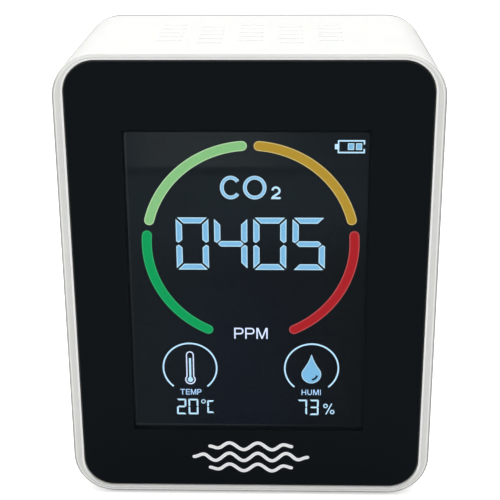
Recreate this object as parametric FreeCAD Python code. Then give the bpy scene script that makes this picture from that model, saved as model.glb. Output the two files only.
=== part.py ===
import FreeCAD, Part
import math
import os

# Carbon dioxide monitor: a free-standing, battery-powered desk instrument with a full-face lens
# over a segmented liquid crystal display.
# Frame: +Z up, front faces -Y. Origin on the resting plane, under the centre of the housing's
# footprint. Millimetres throughout.
# Each internal layer is named by its front face (_Y0) and rear face (_Y1).

Vector = FreeCAD.Vector
SIDES = (-1, 1)
CORNERS = [(sx, sz) for sx in SIDES for sz in SIDES]
OVER = 1.0                      # how far cutting tools run past a face

# ---------------------------------------------------------------- housing dimensions
BODY_W, BODY_H, BODY_D = 75.0, 94.5, 44.0
BODY_R = 8.5                    # corner radius of the outline, seen from the front
FOOT_PROUD = 0.5                # how far the rubber feet stand proud of the underside
WALL = 2.2
EDGE_R = 0.5                    # outer edge radius, front and rear
FRONT_Y, REAR_Y = -BODY_D / 2, BODY_D / 2
BODY_Z0, BODY_Z1 = FOOT_PROUD, FOOT_PROUD + BODY_H
MID_Z = (BODY_Z0 + BODY_Z1) / 2
INNER_W, INNER_H, INNER_R = BODY_W - 2 * WALL, BODY_H - 2 * WALL, BODY_R - WALL
FUSE_LAP = 0.3                  # how far bosses and ribs sink into the bezel wall
FOOT_R, FOOT_T = 3.75, 1.1
FEET = [(sx * 25.0, sy * 14.0) for sx, sy in CORNERS]

# ---------------------------------------------------------------- lens pocket, front to back
RIM_SIDE, RIM_TOP = 2.05, 1.34  # visible rim beside, and above and below, the lens
RIM_BEVEL = 0.3
POCKET_W, POCKET_H, POCKET_R = BODY_W - 2 * RIM_SIDE, BODY_H - 2 * RIM_TOP, 6.3
LENS_Y0 = FRONT_Y + 0.35
LENS_Y1 = LENS_Y0 + 1.5
PRINT_Y1 = LENS_Y1 + 0.05
TAPE_Y1 = PRINT_Y1 + 0.15
BEZEL_Y1 = TAPE_Y1 + 1.4        # rear face of the bezel wall
CLEAR_X = (-24.25, 23.20)       # limits of the clear window, about half a millimetre off centre
CLEAR_Z = (15.35, 79.30)

# ---------------------------------------------------------------- boards and display
BOARD_W, BOARD_H, BOARD_T = 68.0, 74.0, 1.6
BOARD_Y0 = -12.4
BOARD_Y1 = BOARD_Y0 + BOARD_T   # component side, facing the rear
BOARD_SCREWS = [(sx * 30.9, MID_Z + sz * 30.0) for sx, sz in CORNERS]

WINDOW_W, WINDOW_H, WINDOW_Z = 47.8, 63.6, 47.5     # display field
LCD_W, LCD_H, LCD_Y0 = 51.5, 68.0, BEZEL_Y1 + 0.05
LCD_BOTTOM = WINDOW_Z - LCD_H / 2
POLARISER_T, GLASS_T = 0.2, 0.7
SHELF_DROP = 2.2                # the rear glass is shorter, leaving a contact shelf below it
SHELF_Y = LCD_Y0 + POLARISER_T + GLASS_T
REAR_LCD_H, REAR_LCD_Z = LCD_H - SHELF_DROP, WINDOW_Z + SHELF_DROP / 2
LIGHT_W, LIGHT_H, LIGHT_Z = LCD_W - 1.0, REAR_LCD_H - 2.4, REAR_LCD_Z + 0.8
# name, width, height, corner radius, centre z, thickness, gap behind; front to back
DISPLAY_LAYERS = [
    ("display_front_polariser", LCD_W - 1.2, LCD_H - 1.2, 0.3, WINDOW_Z, POLARISER_T, 0),
    ("display_front_glass", LCD_W, LCD_H, 0.2, WINDOW_Z, GLASS_T, 0),
    ("display_rear_glass", LCD_W, REAR_LCD_H, 0.2, REAR_LCD_Z, GLASS_T, 0),
    ("display_rear_polariser", LCD_W - 1.2, REAR_LCD_H - 1.2, 0.3, REAR_LCD_Z, POLARISER_T, 0),
    ("display_colour_film", LCD_W - 1.6, REAR_LCD_H - 1.6, 0.3, REAR_LCD_Z, 0.1, 0.05),
    ("backlight_diffuser", LIGHT_W, LIGHT_H, 0.3, LIGHT_Z, 0.3, 0.05),
    ("backlight_light_guide", LIGHT_W, LIGHT_H, 0.3, LIGHT_Z, 1.8, 0.05),
    ("backlight_reflector", LIGHT_W, LIGHT_H, 0.3, LIGHT_Z, 0.15, 0.05),
]
TRAY_Y = LCD_Y0 + sum(layer[-2] + layer[-1] for layer in DISPLAY_LAYERS)
FRAME_T, FRAME_Y1 = 1.4, BOARD_Y0 - 0.05
FLEX_OPENING = 9.5              # half width of the openings for the flexible circuit

# ---------------------------------------------------------------- rear cover and its neighbours
COVER_T = 2.0
COVER_Y0 = REAR_Y - COVER_T
COVER_STEP = 1.2                # rabbet in the housing wall that the rear cover drops into
LIP_T, LIP_Y = 1.2, 17.5
COVER_SCREWS = [(sx * 31.3, MID_Z + sz * 41.05) for sx, sz in CORNERS]
COVER_BOSS_R = 3.2
COVER_SCREW_SEAT = COVER_Y0 - 0.4

CHARGER_Z0, CHARGER_T = 5.7, 1.2
CHARGER_Z1 = CHARGER_Z0 + CHARGER_T
CHARGER_SCREWS = [(-18.5, 3.0), (21.0, 3.0)]
PORT_X, PORT_Z = 0.0, CHARGER_Z1 + 1.63
PORT_W, PORT_H, PORT_L, PORT_WALL = 8.94, 3.16, 7.4, 0.30
BUTTON_X, BUTTON_Z, BUTTON_R = 15.0, CHARGER_Z1 + 2.7, 3.5
BUTTON_TRAVEL = 0.4             # full press

CELL_W, CELL_H, CELL_T, CELL_Z = 50.0, 34.0, 6.0, 41.5      # width includes protection board
CELL_Y1 = COVER_Y0 - 1.0
CELL_Y0 = CELL_Y1 - CELL_T

# ---------------------------------------------------------------- vents
SLOT_L, SLOT_W = 5.2, 1.1
SLOT_R = SLOT_W / 2 - 0.01
COLUMN_PITCH, ROW_PITCH = 8.0, 4.4
TOP_VENT_Y = -9.5               # first row of the outer and middle columns
SENSOR_Z = 72.0                 # centre of the carbon dioxide sensor and of the rear vents


# ---------------------------------------------------------------- helpers
def rounded_face(width, height, radius, x, y):
    """Rounded rectangle in the XY plane, centred on (x, y)."""
    x0, x1, y0, y1 = x - width / 2, x + width / 2, y - height / 2, y + height / 2
    mid = radius * (1 - math.sqrt(0.5))
    # start, middle and end of each corner arc, anticlockwise from the lower right
    arcs = [
        (Vector(x1 - radius, y0), Vector(x1 - mid, y0 + mid), Vector(x1, y0 + radius)),
        (Vector(x1, y1 - radius), Vector(x1 - mid, y1 - mid), Vector(x1 - radius, y1)),
        (Vector(x0 + radius, y1), Vector(x0 + mid, y1 - mid), Vector(x0, y1 - radius)),
        (Vector(x0, y0 + radius), Vector(x0 + mid, y0 + mid), Vector(x0 + radius, y0)),
    ]
    edges = []
    for i, arc in enumerate(arcs):
        edges.append(Part.Arc(*arc).toShape())
        edges.append(Part.LineSegment(arc[2], arcs[(i + 1) % 4][0]).toShape())
    return Part.Face(Part.Wire(Part.__sortEdges__(edges)))


def rounded_y(width, height, radius, y0, y1, x=0.0, z=0.0):
    """Rounded block whose outline is in XZ, running from y0 to y1."""
    s = rounded_face(width, height, radius, x, z).extrude(Vector(0, 0, y1 - y0))
    s.rotate(Vector(0, 0, 0), Vector(1, 0, 0), 90)      # y -> z, z -> -y
    s = s.mirror(Vector(0, 0, 0), Vector(0, 1, 0))      # the extrusion now runs along +y
    s.translate(Vector(0, y0, 0))
    return s


def rounded_z(width, depth, radius, z0, z1, x, y):
    s = rounded_face(width, depth, radius, x, y).extrude(Vector(0, 0, z1 - z0))
    s.translate(Vector(0, 0, z0))
    return s


def box(x0, x1, y0, y1, z0, z1):
    """Block between two limits on each axis, given in either order."""
    corner = Vector(min(x0, x1), min(y0, y1), min(z0, z1))
    return Part.makeBox(abs(x1 - x0), abs(y1 - y0), abs(z1 - z0), corner)


def block_y(width, height, y0, y1, x, z):
    return box(x - width / 2, x + width / 2, y0, y1, z - height / 2, z + height / 2)


def block_z(width, depth, z0, z1, x, y):
    return box(x - width / 2, x + width / 2, y - depth / 2, y + depth / 2, z0, z1)


def cyl_y(radius, y0, y1, x, z):
    return Part.makeCylinder(radius, y1 - y0, Vector(x, y0, z), Vector(0, 1, 0))


def cyl_z(radius, z0, z1, x, y):
    return Part.makeCylinder(radius, z1 - z0, Vector(x, y, z0), Vector(0, 0, 1))


def fuse(shapes):
    return shapes[0].multiFuse(shapes[1:]).removeSplitter()


def cut(base, tools):
    return base.cut(Part.makeCompound(tools))


def edges_at(shape, level, axis="Y"):
    """Edges that lie wholly at one level along an axis."""
    return [e for e in shape.Edges
            if abs(getattr(e.BoundBox, axis + "Min") - level) < 1e-4
            and abs(getattr(e.BoundBox, axis + "Max") - level) < 1e-4]


def vent_centres(first_row, stagger):
    """Five columns of five slots; alternate columns are shifted by stagger."""
    return [(col * COLUMN_PITCH, first_row + row * ROW_PITCH + (stagger if col % 2 else 0))
            for col in range(-2, 3) for row in range(5)]


def turned(size, along_x):
    """Length and width in the order they lie on the board."""
    return size if along_x else size[::-1]


def save(name, *shapes):
    """Write the solids of one piece, each with its faces turned outward."""
    solids = [s.reversed() if s.Volume < 0 else s for shape in shapes for s in shape.Solids]
    piece = solids[0] if len(solids) == 1 else Part.makeCompound(solids)
    piece.exportStep(os.path.join("parts", name + ".step"))


os.makedirs("parts", exist_ok=True)


# ---------------------------------------------------------------- front housing
def housing_shell():
    outer = rounded_y(BODY_W, BODY_H, BODY_R, FRONT_Y, REAR_Y, 0, MID_Z)
    outer = outer.makeFillet(EDGE_R, edges_at(outer, FRONT_Y) + edges_at(outer, REAR_Y))
    pocket = rounded_y(POCKET_W, POCKET_H, POCKET_R, FRONT_Y - OVER, TAPE_Y1, 0, MID_Z)
    cavity = rounded_y(INNER_W, INNER_H, INNER_R, BEZEL_Y1, REAR_Y + OVER, 0, MID_Z)
    rabbet = rounded_y(INNER_W + 2 * COVER_STEP, INNER_H + 2 * COVER_STEP,
                       INNER_R + COVER_STEP, COVER_Y0, REAR_Y + OVER, 0, MID_Z)
    window = rounded_y(WINDOW_W + 2.0, WINDOW_H + 2.4, 1.0,
                       FRONT_Y - OVER, BEZEL_Y1 + OVER, 0, WINDOW_Z)
    shell = cut(outer, [pocket, cavity, rabbet, window])
    # small bevel round the inner edge of the rim
    rim_edges = [e for e in edges_at(shell, FRONT_Y)
                 if abs(e.BoundBox.XMax) <= POCKET_W / 2 + 0.01
                 and e.BoundBox.ZMax <= BODY_Z1 - RIM_TOP + 0.01]
    return shell.makeChamfer(RIM_BEVEL, rim_edges)


def front_housing():
    y_root = BEZEL_Y1 - FUSE_LAP
    adds, cuts = [], []
    for (x, z), (board_x, board_z) in zip(COVER_SCREWS, BOARD_SCREWS):
        adds.append(cyl_y(COVER_BOSS_R, y_root, LIP_Y - 0.1, x, z))
        # web that ties each corner boss to the side wall
        wall_x = math.copysign(INNER_W / 2 + 0.4, x)
        adds.append(box(x, wall_x, y_root, LIP_Y - 3.0, z - 0.6, z + 0.6))
        cuts.append(cyl_y(1.25, LIP_Y - 12, LIP_Y + OVER, x, z))
        adds.append(cyl_y(2.2, y_root, BOARD_Y0, board_x, board_z))
        cuts.append(cyl_y(1.0, BOARD_Y0 - 5.0, BOARD_Y0 + OVER, board_x, board_z))
    # floor standoffs for the charger board
    for x, y in CHARGER_SCREWS:
        adds.append(cyl_z(2.3, BODY_Z0 + WALL - 0.4, CHARGER_Z0, x, y))
        cuts.append(cyl_z(1.0, BODY_Z0 + 1.2, CHARGER_Z0 + OVER, x, y))
    # ribs that locate the display frame, above, below and beside it
    rib_x = LCD_W / 2 + FRAME_T + 0.15
    rib_z = LCD_H / 2 + FRAME_T + 0.15
    rib_end = BEZEL_Y1 + 4.5
    for side in SIDES:
        for up in (1, -1):
            adds.append(box(side * 14 - 5, side * 14 + 5, y_root, rib_end,
                            WINDOW_Z + up * rib_z, WINDOW_Z + up * (rib_z + 1.2)))
        for z in (WINDOW_Z - 16, WINDOW_Z + 16):
            adds.append(box(side * rib_x, side * (rib_x + 1.1), y_root, rib_end, z - 5, z + 5))
    for x, y in vent_centres(TOP_VENT_Y, -ROW_PITCH / 2):
        cuts.append(rounded_z(SLOT_L, SLOT_W, SLOT_R,
                              BODY_Z1 - WALL - OVER, BODY_Z1 + OVER, x, y))
    # recesses for the rubber feet
    for x, y in FEET:
        cuts.append(cyl_z(FOOT_R + 0.15, BODY_Z0 - OVER, FOOT_T, x, y))
    return cut(fuse([housing_shell()] + adds), cuts)


save("front_housing", front_housing())


# ---------------------------------------------------------------- lens, its print and its tape
def in_pocket(margin, y0, y1):
    """Plate that fills the lens pocket but for a margin all round."""
    return rounded_y(POCKET_W - 2 * margin, POCKET_H - 2 * margin, POCKET_R - margin,
                     y0, y1, 0, MID_Z)


lens = in_pocket(0.15, LENS_Y0, LENS_Y1)
save("front_lens", lens.makeFillet(0.25, edges_at(lens, LENS_Y0)))
clear_window = rounded_y(CLEAR_X[1] - CLEAR_X[0], CLEAR_Z[1] - CLEAR_Z[0], 0.4,
                         LENS_Y1 - OVER, PRINT_Y1 + OVER, sum(CLEAR_X) / 2, sum(CLEAR_Z) / 2)
save("lens_border_print", in_pocket(0.25, LENS_Y1, PRINT_Y1).cut(clear_window))
tape_window = rounded_y(WINDOW_W + 3.4, WINDOW_H + 3.4, 1.5,
                        PRINT_Y1 - OVER, TAPE_Y1 + OVER, 0, WINDOW_Z)
save("lens_adhesive_tape", in_pocket(1.0, PRINT_Y1, TAPE_Y1).cut(tape_window))

# ---------------------------------------------------------------- display module
layer_y = LCD_Y0
for name, width, height, radius, z, thickness, gap in DISPLAY_LAYERS:
    save(name, rounded_y(width, height, radius, layer_y, layer_y + thickness, 0, z))
    layer_y += thickness + gap


def display_frame():
    frame = rounded_y(LCD_W + 2 * FRAME_T, LCD_H + 2 * FRAME_T, 1.2,
                      LCD_Y0, FRAME_Y1, 0, WINDOW_Z)
    frame = frame.cut(rounded_y(LCD_W + 0.2, LCD_H + 0.2, 0.3,
                                LCD_Y0 - OVER, TRAY_Y, 0, WINDOW_Z))
    # the floor under the light guide has two openings with a cross bar between them
    frame = cut(frame, [rounded_y(LCD_W - 10, height, 2.0, TRAY_Y - OVER, FRAME_Y1 + OVER,
                                  0, WINDOW_Z + rise)
                        for height, rise in ((26.0, 17.5), (22.0, -11.5))])
    # slot in the bottom wall where the flexible circuit leaves
    return frame.cut(box(-FLEX_OPENING, FLEX_OPENING, SHELF_Y, FRAME_Y1 + OVER,
                         LCD_BOTTOM - FRAME_T - OVER, LCD_BOTTOM + 0.2))


save("display_frame", display_frame())

# side-firing lamps along the bottom edge of the light guide, on their strip
LAMP_W, LAMP_H, LAMP_PITCH = 3.8, 1.4, 11.5
LAMP_Z1 = LIGHT_Z - LIGHT_H / 2 - 0.1
LAMP_Y1 = TRAY_Y - 0.25
save("backlight_lamps", *[
    block_y(LAMP_W, LAMP_H, LAMP_Y1 - 1.0, LAMP_Y1, (k - 1.5) * LAMP_PITCH, LAMP_Z1 - LAMP_H / 2)
    for k in range(4)])
save("backlight_lamp_strip", box(-21.0, 21.0, LAMP_Y1, TRAY_Y - 0.02, LAMP_Z1 - 1.8, LAMP_Z1))

FLEX_T, FLEX_W = 0.12, 16.0
FLEX_FRONT_R, FLEX_REAR_R = 0.9, 1.3


def quarter_bend(y, z, radius, start, steps):
    """Points (y, z) on a quarter circle centred on (y, z), from the start angle."""
    angles = [math.radians(start + 90 * k / steps) for k in range(steps + 1)]
    return [(y + radius * math.cos(a), z + radius * math.sin(a)) for a in angles]


def display_flex_cable():
    """Strip from the contact shelf, round the bottom of the frame, to the main board."""
    y_front = SHELF_Y + 0.02
    y_rear = BOARD_Y1 + 0.66
    z_bend = LCD_BOTTOM - 1.3
    z_low = z_bend - FLEX_FRONT_R
    path = [(y_front, LCD_BOTTOM + 1.9), (y_front, LCD_BOTTOM + 0.3)]
    path += quarter_bend(y_front + FLEX_FRONT_R, z_bend, FLEX_FRONT_R, 180, 6)
    path += quarter_bend(y_rear - FLEX_REAR_R, z_low + FLEX_REAR_R, FLEX_REAR_R, -90, 7)
    path.append((y_rear, LCD_BOTTOM + 4.2))
    # second face of the strip: each point moved to the left of the path
    offset = []
    for i, (y, z) in enumerate(path):
        before, after = path[max(0, i - 1)], path[min(len(path) - 1, i + 1)]
        dy, dz = after[0] - before[0], after[1] - before[1]
        length = math.hypot(dy, dz)
        offset.append((y - dz / length * FLEX_T, z + dy / length * FLEX_T))
    outline = [Vector(-FLEX_W / 2, y, z) for y, z in path + offset[::-1]]
    face = Part.Face(Part.makePolygon(outline + [outline[0]]))
    return face.extrude(Vector(FLEX_W, 0, 0))


save("display_flex_cable", display_flex_cable())

# ---------------------------------------------------------------- main board
HUMIDITY_X, HUMIDITY_Z = -27.0, 22.5
SENSOR_BOARD_Y0 = BOARD_Y1 + 5.0
SENSOR_BOARD_Y1 = SENSOR_BOARD_Y0 + 1.2
HALF_PITCH = 1.27
# pin rows that carry the sensor board: x, pin heights in half pitches from the sensor's centre
HEADERS = [(-15.2, (-3, -1, 1, 3)), (15.2, (-2, 0, 2))]
SENSOR_PINS = [block_y(0.6, 0.6, BOARD_Y1 - 2.6, SENSOR_BOARD_Y0 + 2.2,
                       x, SENSOR_Z + row * HALF_PITCH)
               for x, rows in HEADERS for row in rows]


def main_board():
    y0, y1 = BOARD_Y0 - OVER, BOARD_Y1 + OVER
    tools = [cyl_y(1.15, y0, y1, x, z) for x, z in BOARD_SCREWS]
    # notch where the flexible circuit wraps round the lower edge
    tools.append(box(-FLEX_OPENING, FLEX_OPENING, y0, y1,
                     MID_Z - BOARD_H / 2 - OVER, LCD_BOTTOM + 0.4))
    # thermal slots beside and above the humidity sensor
    x, z = HUMIDITY_X, HUMIDITY_Z
    tools.append(box(x - 4.2, x - 3.2, y0, y1, z - 4, z + 4))
    tools.append(box(x + 3.2, x + 4.2, y0, y1, z - 4, z + 4))
    tools.append(box(x - 4.2, x + 4.2, y0, y1, z + 4, z + 5))
    board = rounded_y(BOARD_W, BOARD_H, 2.0, BOARD_Y0, BOARD_Y1, 0, MID_Z)
    return cut(cut(board, tools), SENSOR_PINS)


def display_flex_connector():
    """Two jaws with the flexible circuit between them, two end cheeks and a back."""
    y1 = BOARD_Y1 + 1.9
    z0, z1 = LCD_BOTTOM + 1.6, LCD_BOTTOM + 6.0
    return fuse([
        box(-9.0, 9.0, BOARD_Y1, BOARD_Y1 + 0.45, z0, z1),
        box(-9.0, 9.0, BOARD_Y1 + 0.75, y1, z0, z1),
        box(-9.4, -9.0, BOARD_Y1, y1, z0, z1),
        box(9.0, 9.4, BOARD_Y1, y1, z0, z1),
        box(-9.4, 9.4, BOARD_Y1, y1, z1 - 1.4, z1),
    ])


LEAD_PITCH, LEAD_L, LEAD_T = 0.5, 0.9, 0.14
PACKAGE_LIFT = 0.12             # gap between a board and a moulded package


def board_chip(x, z, width, height, thickness, leads, four_sides):
    """Moulded package on the main board, followed by its leads."""
    top = BOARD_Y1 + PACKAGE_LIFT + thickness
    body = block_y(width, height, BOARD_Y1 + PACKAGE_LIFT, top, x, z)
    body = body.makeChamfer(0.12, edges_at(body, top))
    # round dimple near one corner
    body = body.cut(cyl_y(0.35, BOARD_Y1 + thickness, BOARD_Y1 + thickness + OVER,
                          x - width / 2 + 0.9, z + height / 2 - 0.9))
    solids = [body]
    y1 = BOARD_Y1 + LEAD_T
    for k in range(leads):
        offset = (k - (leads - 1) / 2) * LEAD_PITCH
        for side in SIDES:
            solids.append(block_y(LEAD_L, LEAD_PITCH / 2, BOARD_Y1, y1,
                                  x + side * (width + LEAD_L) / 2, z + offset))
            if four_sides:
                solids.append(block_y(LEAD_PITCH / 2, LEAD_L, BOARD_Y1, y1,
                                      x + offset, z + side * (height + LEAD_L) / 2))
    return solids


# capacitors and resistors: x, z, 1 if the long side lies along x
BOARD_PASSIVES = [
    (-8.5, 27.0, 1), (-8.5, 29.0, 1), (-8.5, 31.0, 1), (4.5, 27.0, 0), (6.5, 27.0, 0),
    (8.5, 27.0, 0), (20.5, 27.5, 1), (20.5, 29.5, 1), (20.5, 31.5, 1), (20.5, 33.5, 1),
    (-12.8, 38.5, 0), (-2.0, 37.5, 1), (2.0, 37.5, 1), (9.0, 36.5, 1), (13.0, 36.5, 1),
    (-20.0, 30.0, 0), (-22.0, 30.0, 0), (-24.5, 30.0, 0),
]

save("main_board", main_board())
save("display_flex_connector", display_flex_connector())
save("microcontroller", *board_chip(-2.0, 31.0, 7.0, 7.0, 1.4, leads=12, four_sides=True))
save("display_driver_chip", *board_chip(14.0, 30.0, 5.0, 6.2, 1.2, leads=10, four_sides=False))
save("clock_crystal", rounded_y(3.2, 1.6, 0.5, BOARD_Y1, BOARD_Y1 + 0.9, -10.5, 34.5))
save("main_board_passives", *[
    block_y(*turned((1.6, 0.8), along_x), BOARD_Y1, BOARD_Y1 + 0.6, x, z)
    for x, z, along_x in BOARD_PASSIVES])
humidity_sensor = block_y(3.0, 3.0, BOARD_Y1, BOARD_Y1 + 1.1, HUMIDITY_X, HUMIDITY_Z)
save("temperature_humidity_sensor", humidity_sensor.cut(
    cyl_y(0.7, BOARD_Y1 + 0.7, BOARD_Y1 + 2, HUMIDITY_X, HUMIDITY_Z)))

# ---------------------------------------------------------------- carbon dioxide sensor
CHAMBER_Y0 = SENSOR_BOARD_Y1
CHAMBER_Y1 = CHAMBER_Y0 + 7.0
GAS_WINDOWS_X = (-7.0, 0.0, 7.0)
LAMP_X, DETECTOR_X = -9.0, 8.6


def sensor_header(x, rows):
    carrier = box(x - 1.2, x + 1.2, BOARD_Y1, SENSOR_BOARD_Y0 - 0.02,
                  SENSOR_Z + rows[0] * HALF_PITCH - 1.3, SENSOR_Z + rows[-1] * HALF_PITCH + 1.3)
    return cut(carrier, SENSOR_PINS)


def sensor_chamber():
    """Hollow moulded shell, open to its board, with gas windows in its roof."""
    shell = rounded_y(26.0, 17.0, 2.0, CHAMBER_Y0, CHAMBER_Y1, 0, SENSOR_Z)
    shell = shell.makeFillet(0.8, edges_at(shell, CHAMBER_Y1))
    shell = shell.cut(rounded_y(23.6, 14.6, 1.2, CHAMBER_Y0 - OVER, CHAMBER_Y1 - 1.2,
                                0, SENSOR_Z))
    recesses = [rounded_y(4.4, 8.6, 0.8, CHAMBER_Y1 - 0.35, CHAMBER_Y1 + OVER, x, SENSOR_Z)
                for x in GAS_WINDOWS_X]
    holes = [cyl_y(0.9, CHAMBER_Y1 - 2, CHAMBER_Y1 + OVER, x, SENSOR_Z + rise)
             for x in GAS_WINDOWS_X for rise in (-2.6, 0.0, 2.6)]
    return cut(shell, recesses + holes)


def sensor_detector():
    """Flanged can with a square window in its end."""
    can = fuse([cyl_y(2.3, CHAMBER_Y0, CHAMBER_Y0 + 0.4, DETECTOR_X, SENSOR_Z),
                cyl_y(2.0, CHAMBER_Y0, CHAMBER_Y0 + 3.0, DETECTOR_X, SENSOR_Z)])
    return can.cut(block_y(1.8, 1.8, CHAMBER_Y0 + 2.8, CHAMBER_Y0 + 4, DETECTOR_X, SENSOR_Z))


sensor_board = rounded_y(34.0, 20.0, 0.8, SENSOR_BOARD_Y0, SENSOR_BOARD_Y1, 0, SENSOR_Z)
save("co2_sensor_board", cut(sensor_board, SENSOR_PINS))
save("co2_sensor_header", *[sensor_header(x, rows) for x, rows in HEADERS])
save("co2_sensor_pins", *SENSOR_PINS)
save("co2_sensor_chamber", sensor_chamber())
save("co2_sensor_dust_filters", *[
    rounded_y(4.2, 8.4, 0.7, CHAMBER_Y1 - 0.33, CHAMBER_Y1 - 0.05, x, SENSOR_Z)
    for x in GAS_WINDOWS_X])
save("co2_sensor_lamp", fuse([
    cyl_y(1.5, CHAMBER_Y0, CHAMBER_Y0 + 2.6, LAMP_X, SENSOR_Z),
    Part.makeSphere(1.5, Vector(LAMP_X, CHAMBER_Y0 + 2.6, SENSOR_Z))]))
save("co2_sensor_detector", sensor_detector())

# ---------------------------------------------------------------- battery, on the rear cover
CELL_X = 1.75                   # the cell gives up 3.5 at one end for its protection board
cell = rounded_y(CELL_W - 2 * CELL_X, CELL_H, 2.2, CELL_Y0, CELL_Y1, CELL_X, CELL_Z)
save("battery_cell", cell.makeFillet(1.6, edges_at(cell, CELL_Y0) + edges_at(cell, CELL_Y1)))
save("battery_protection_board", box(-CELL_W / 2, -CELL_W / 2 + 3.4, CELL_Y0 + 1.2,
                                     CELL_Y0 + 2.0, CELL_Z - 12.0, CELL_Z + 12.0))
save("battery_foam_pad", rounded_y(38.0, 24.0, 1.0, CELL_Y1, COVER_Y0, CELL_X, CELL_Z))

# ---------------------------------------------------------------- charger board and its inlet
# outline (x, y), with a wider-reaching tongue under the power inlet
CHARGER_OUTLINE = [
    (-23.0, -1.5), (25.0, -1.5), (25.0, 18.2), (9.0, 18.2),
    (9.0, 19.4), (-9.0, 19.4), (-9.0, 18.2), (-23.0, 18.2), (-23.0, -1.5),
]
PORT_Y1 = REAR_Y - 0.9
PORT_Y0 = PORT_Y1 - PORT_L
PORT_IN_W, PORT_IN_H = PORT_W - 2 * PORT_WALL, PORT_H - 2 * PORT_WALL
PORT_BORE = rounded_y(PORT_IN_W, PORT_IN_H, PORT_IN_H / 2 - 0.02,
                      PORT_Y0 - OVER, PORT_Y1 + OVER, PORT_X, PORT_Z)


def port_tab(side, y):
    """Tab from the inlet's shell down through the charger board."""
    x = PORT_X + side * (PORT_W / 2 - 0.35)
    tab = box(x - 0.15, x + 0.15, y, y + 1.1, CHARGER_Z0 - 0.3, PORT_Z - 0.3)
    return tab.cut(PORT_BORE)


PORT_TABS = [port_tab(side, y) for side in SIDES for y in (PORT_Y0 + 0.8, PORT_Y0 + 4.2)]


def charger_board():
    face = Part.Face(Part.makePolygon([Vector(x, y) for x, y in CHARGER_OUTLINE]))
    board = face.extrude(Vector(0, 0, CHARGER_T))
    board.translate(Vector(0, 0, CHARGER_Z0))
    board = cut(board, [cyl_z(1.15, CHARGER_Z0 - OVER, CHARGER_Z1 + OVER, x, y)
                        for x, y in CHARGER_SCREWS])
    return cut(board, PORT_TABS)


def charging_port_shell():
    shell = rounded_y(PORT_W, PORT_H, PORT_H / 2 - 0.02, PORT_Y0, PORT_Y1, PORT_X, PORT_Z)
    return fuse([shell.cut(PORT_BORE)] + PORT_TABS)


def charging_port_tongue():
    """Moulded block at the inner end of the shell, with the tongue reaching out of it."""
    block = rounded_y(PORT_IN_W - 0.04, PORT_IN_H - 0.04, PORT_IN_H / 2 - 0.06,
                      PORT_Y0, PORT_Y0 + 1.4, PORT_X, PORT_Z)
    tongue = rounded_y(6.69, 0.7, 0.1, PORT_Y0 + 1.3, PORT_Y1 - 0.75, PORT_X, PORT_Z)
    return fuse([block, tongue])


def port_contact(k, side):
    x = PORT_X + (k - 5.5) * 0.5
    return box(x - 0.12, x + 0.12, PORT_Y0 + 2.4, PORT_Y1 - 1.1,
               PORT_Z + side * 0.35, PORT_Z + side * 0.40)


def charger_chip(x=-7.5, y=5.5, width=4.9, depth=3.9):
    """Moulded package and four leads on its front and rear sides."""
    z0 = CHARGER_Z1 + PACKAGE_LIFT
    return [block_z(width, depth, z0, z0 + 1.4, x, y)] + [
        block_z(0.4, 1.0, CHARGER_Z1, CHARGER_Z1 + 0.18,
                x + (k - 1.5) * 1.27, y + side * (depth + 1.0) / 2)
        for k in range(4) for side in SIDES]


# x, y, 1 if the long side lies along x
CHARGER_PASSIVES = [
    (-12.5, 7.5, 0), (-12.5, 4.0, 0), (6.2, 4.0, 0), (6.2, 7.0, 0),
    (-3.0, 10.2, 1), (1.0, 10.2, 1), (8.6, 5.0, 0), (10.6, 5.0, 0),
]

save("charger_board", charger_board())
save("charging_port_shell", charging_port_shell())
save("charging_port_tongue", charging_port_tongue())
save("charging_port_contacts", *[port_contact(k, side) for k in range(12) for side in SIDES])
save("charger_chip", *charger_chip())
save("charger_inductor", rounded_z(5.0, 5.0, 1.0, CHARGER_Z1, CHARGER_Z1 + 2.6, 1.5, 5.5))
save("charger_board_passives", *[
    block_z(*turned((2.0, 1.25), along_x), CHARGER_Z1, CHARGER_Z1 + 0.9, x, y)
    for x, y, along_x in CHARGER_PASSIVES])

# ---------------------------------------------------------------- right-angle tactile switch
BUTTON = (BUTTON_X, BUTTON_Z)
SWITCH_W, SWITCH_H = 6.0, 5.4
SWITCH_Y1 = COVER_Y0 - 2.6      # face the plunger comes out of
SWITCH_Y0 = SWITCH_Y1 - 3.6
PLATE_Y0 = SWITCH_Y1 - 0.3
WELL_Y = SWITCH_Y0 + 1.2        # floor of the well that the dome rests on
DOME_R, DOME_H, DOME_T = 2.0, 0.55, 0.08
# the dome keeps its free shape, so its collapse is taken up as a gap
PLUNGER_Y0 = WELL_Y + DOME_H + BUTTON_TRAVEL + 0.06
PLUNGER_Y1 = COVER_Y0 - 1.42


def switch_snap_dome():
    """Shallow spherical cap of sheet."""
    sphere_r = (DOME_R ** 2 + DOME_H ** 2) / (2 * DOME_H)
    centre = Vector(BUTTON_X, WELL_Y + DOME_H - sphere_r, BUTTON_Z)
    skin = Part.makeSphere(sphere_r, centre).cut(Part.makeSphere(sphere_r - DOME_T, centre))
    return skin.common(cyl_y(DOME_R - 0.05, WELL_Y, WELL_Y + 2, *BUTTON))


save("switch_base", block_y(SWITCH_W, SWITCH_H, SWITCH_Y0, PLATE_Y0, *BUTTON).cut(
    cyl_y(2.1, WELL_Y, SWITCH_Y1, *BUTTON)))
save("switch_cover_plate", block_y(SWITCH_W, SWITCH_H, PLATE_Y0, SWITCH_Y1, *BUTTON).cut(
    cyl_y(1.25, SWITCH_Y0, SWITCH_Y1 + OVER, *BUTTON)))
save("switch_snap_dome", switch_snap_dome())
save("switch_plunger", fuse([cyl_y(1.15, PLUNGER_Y0, PLUNGER_Y1, *BUTTON),
                             cyl_y(1.9, PLUNGER_Y0 + 0.2, PLATE_Y0 - 0.06, *BUTTON)]))

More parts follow.
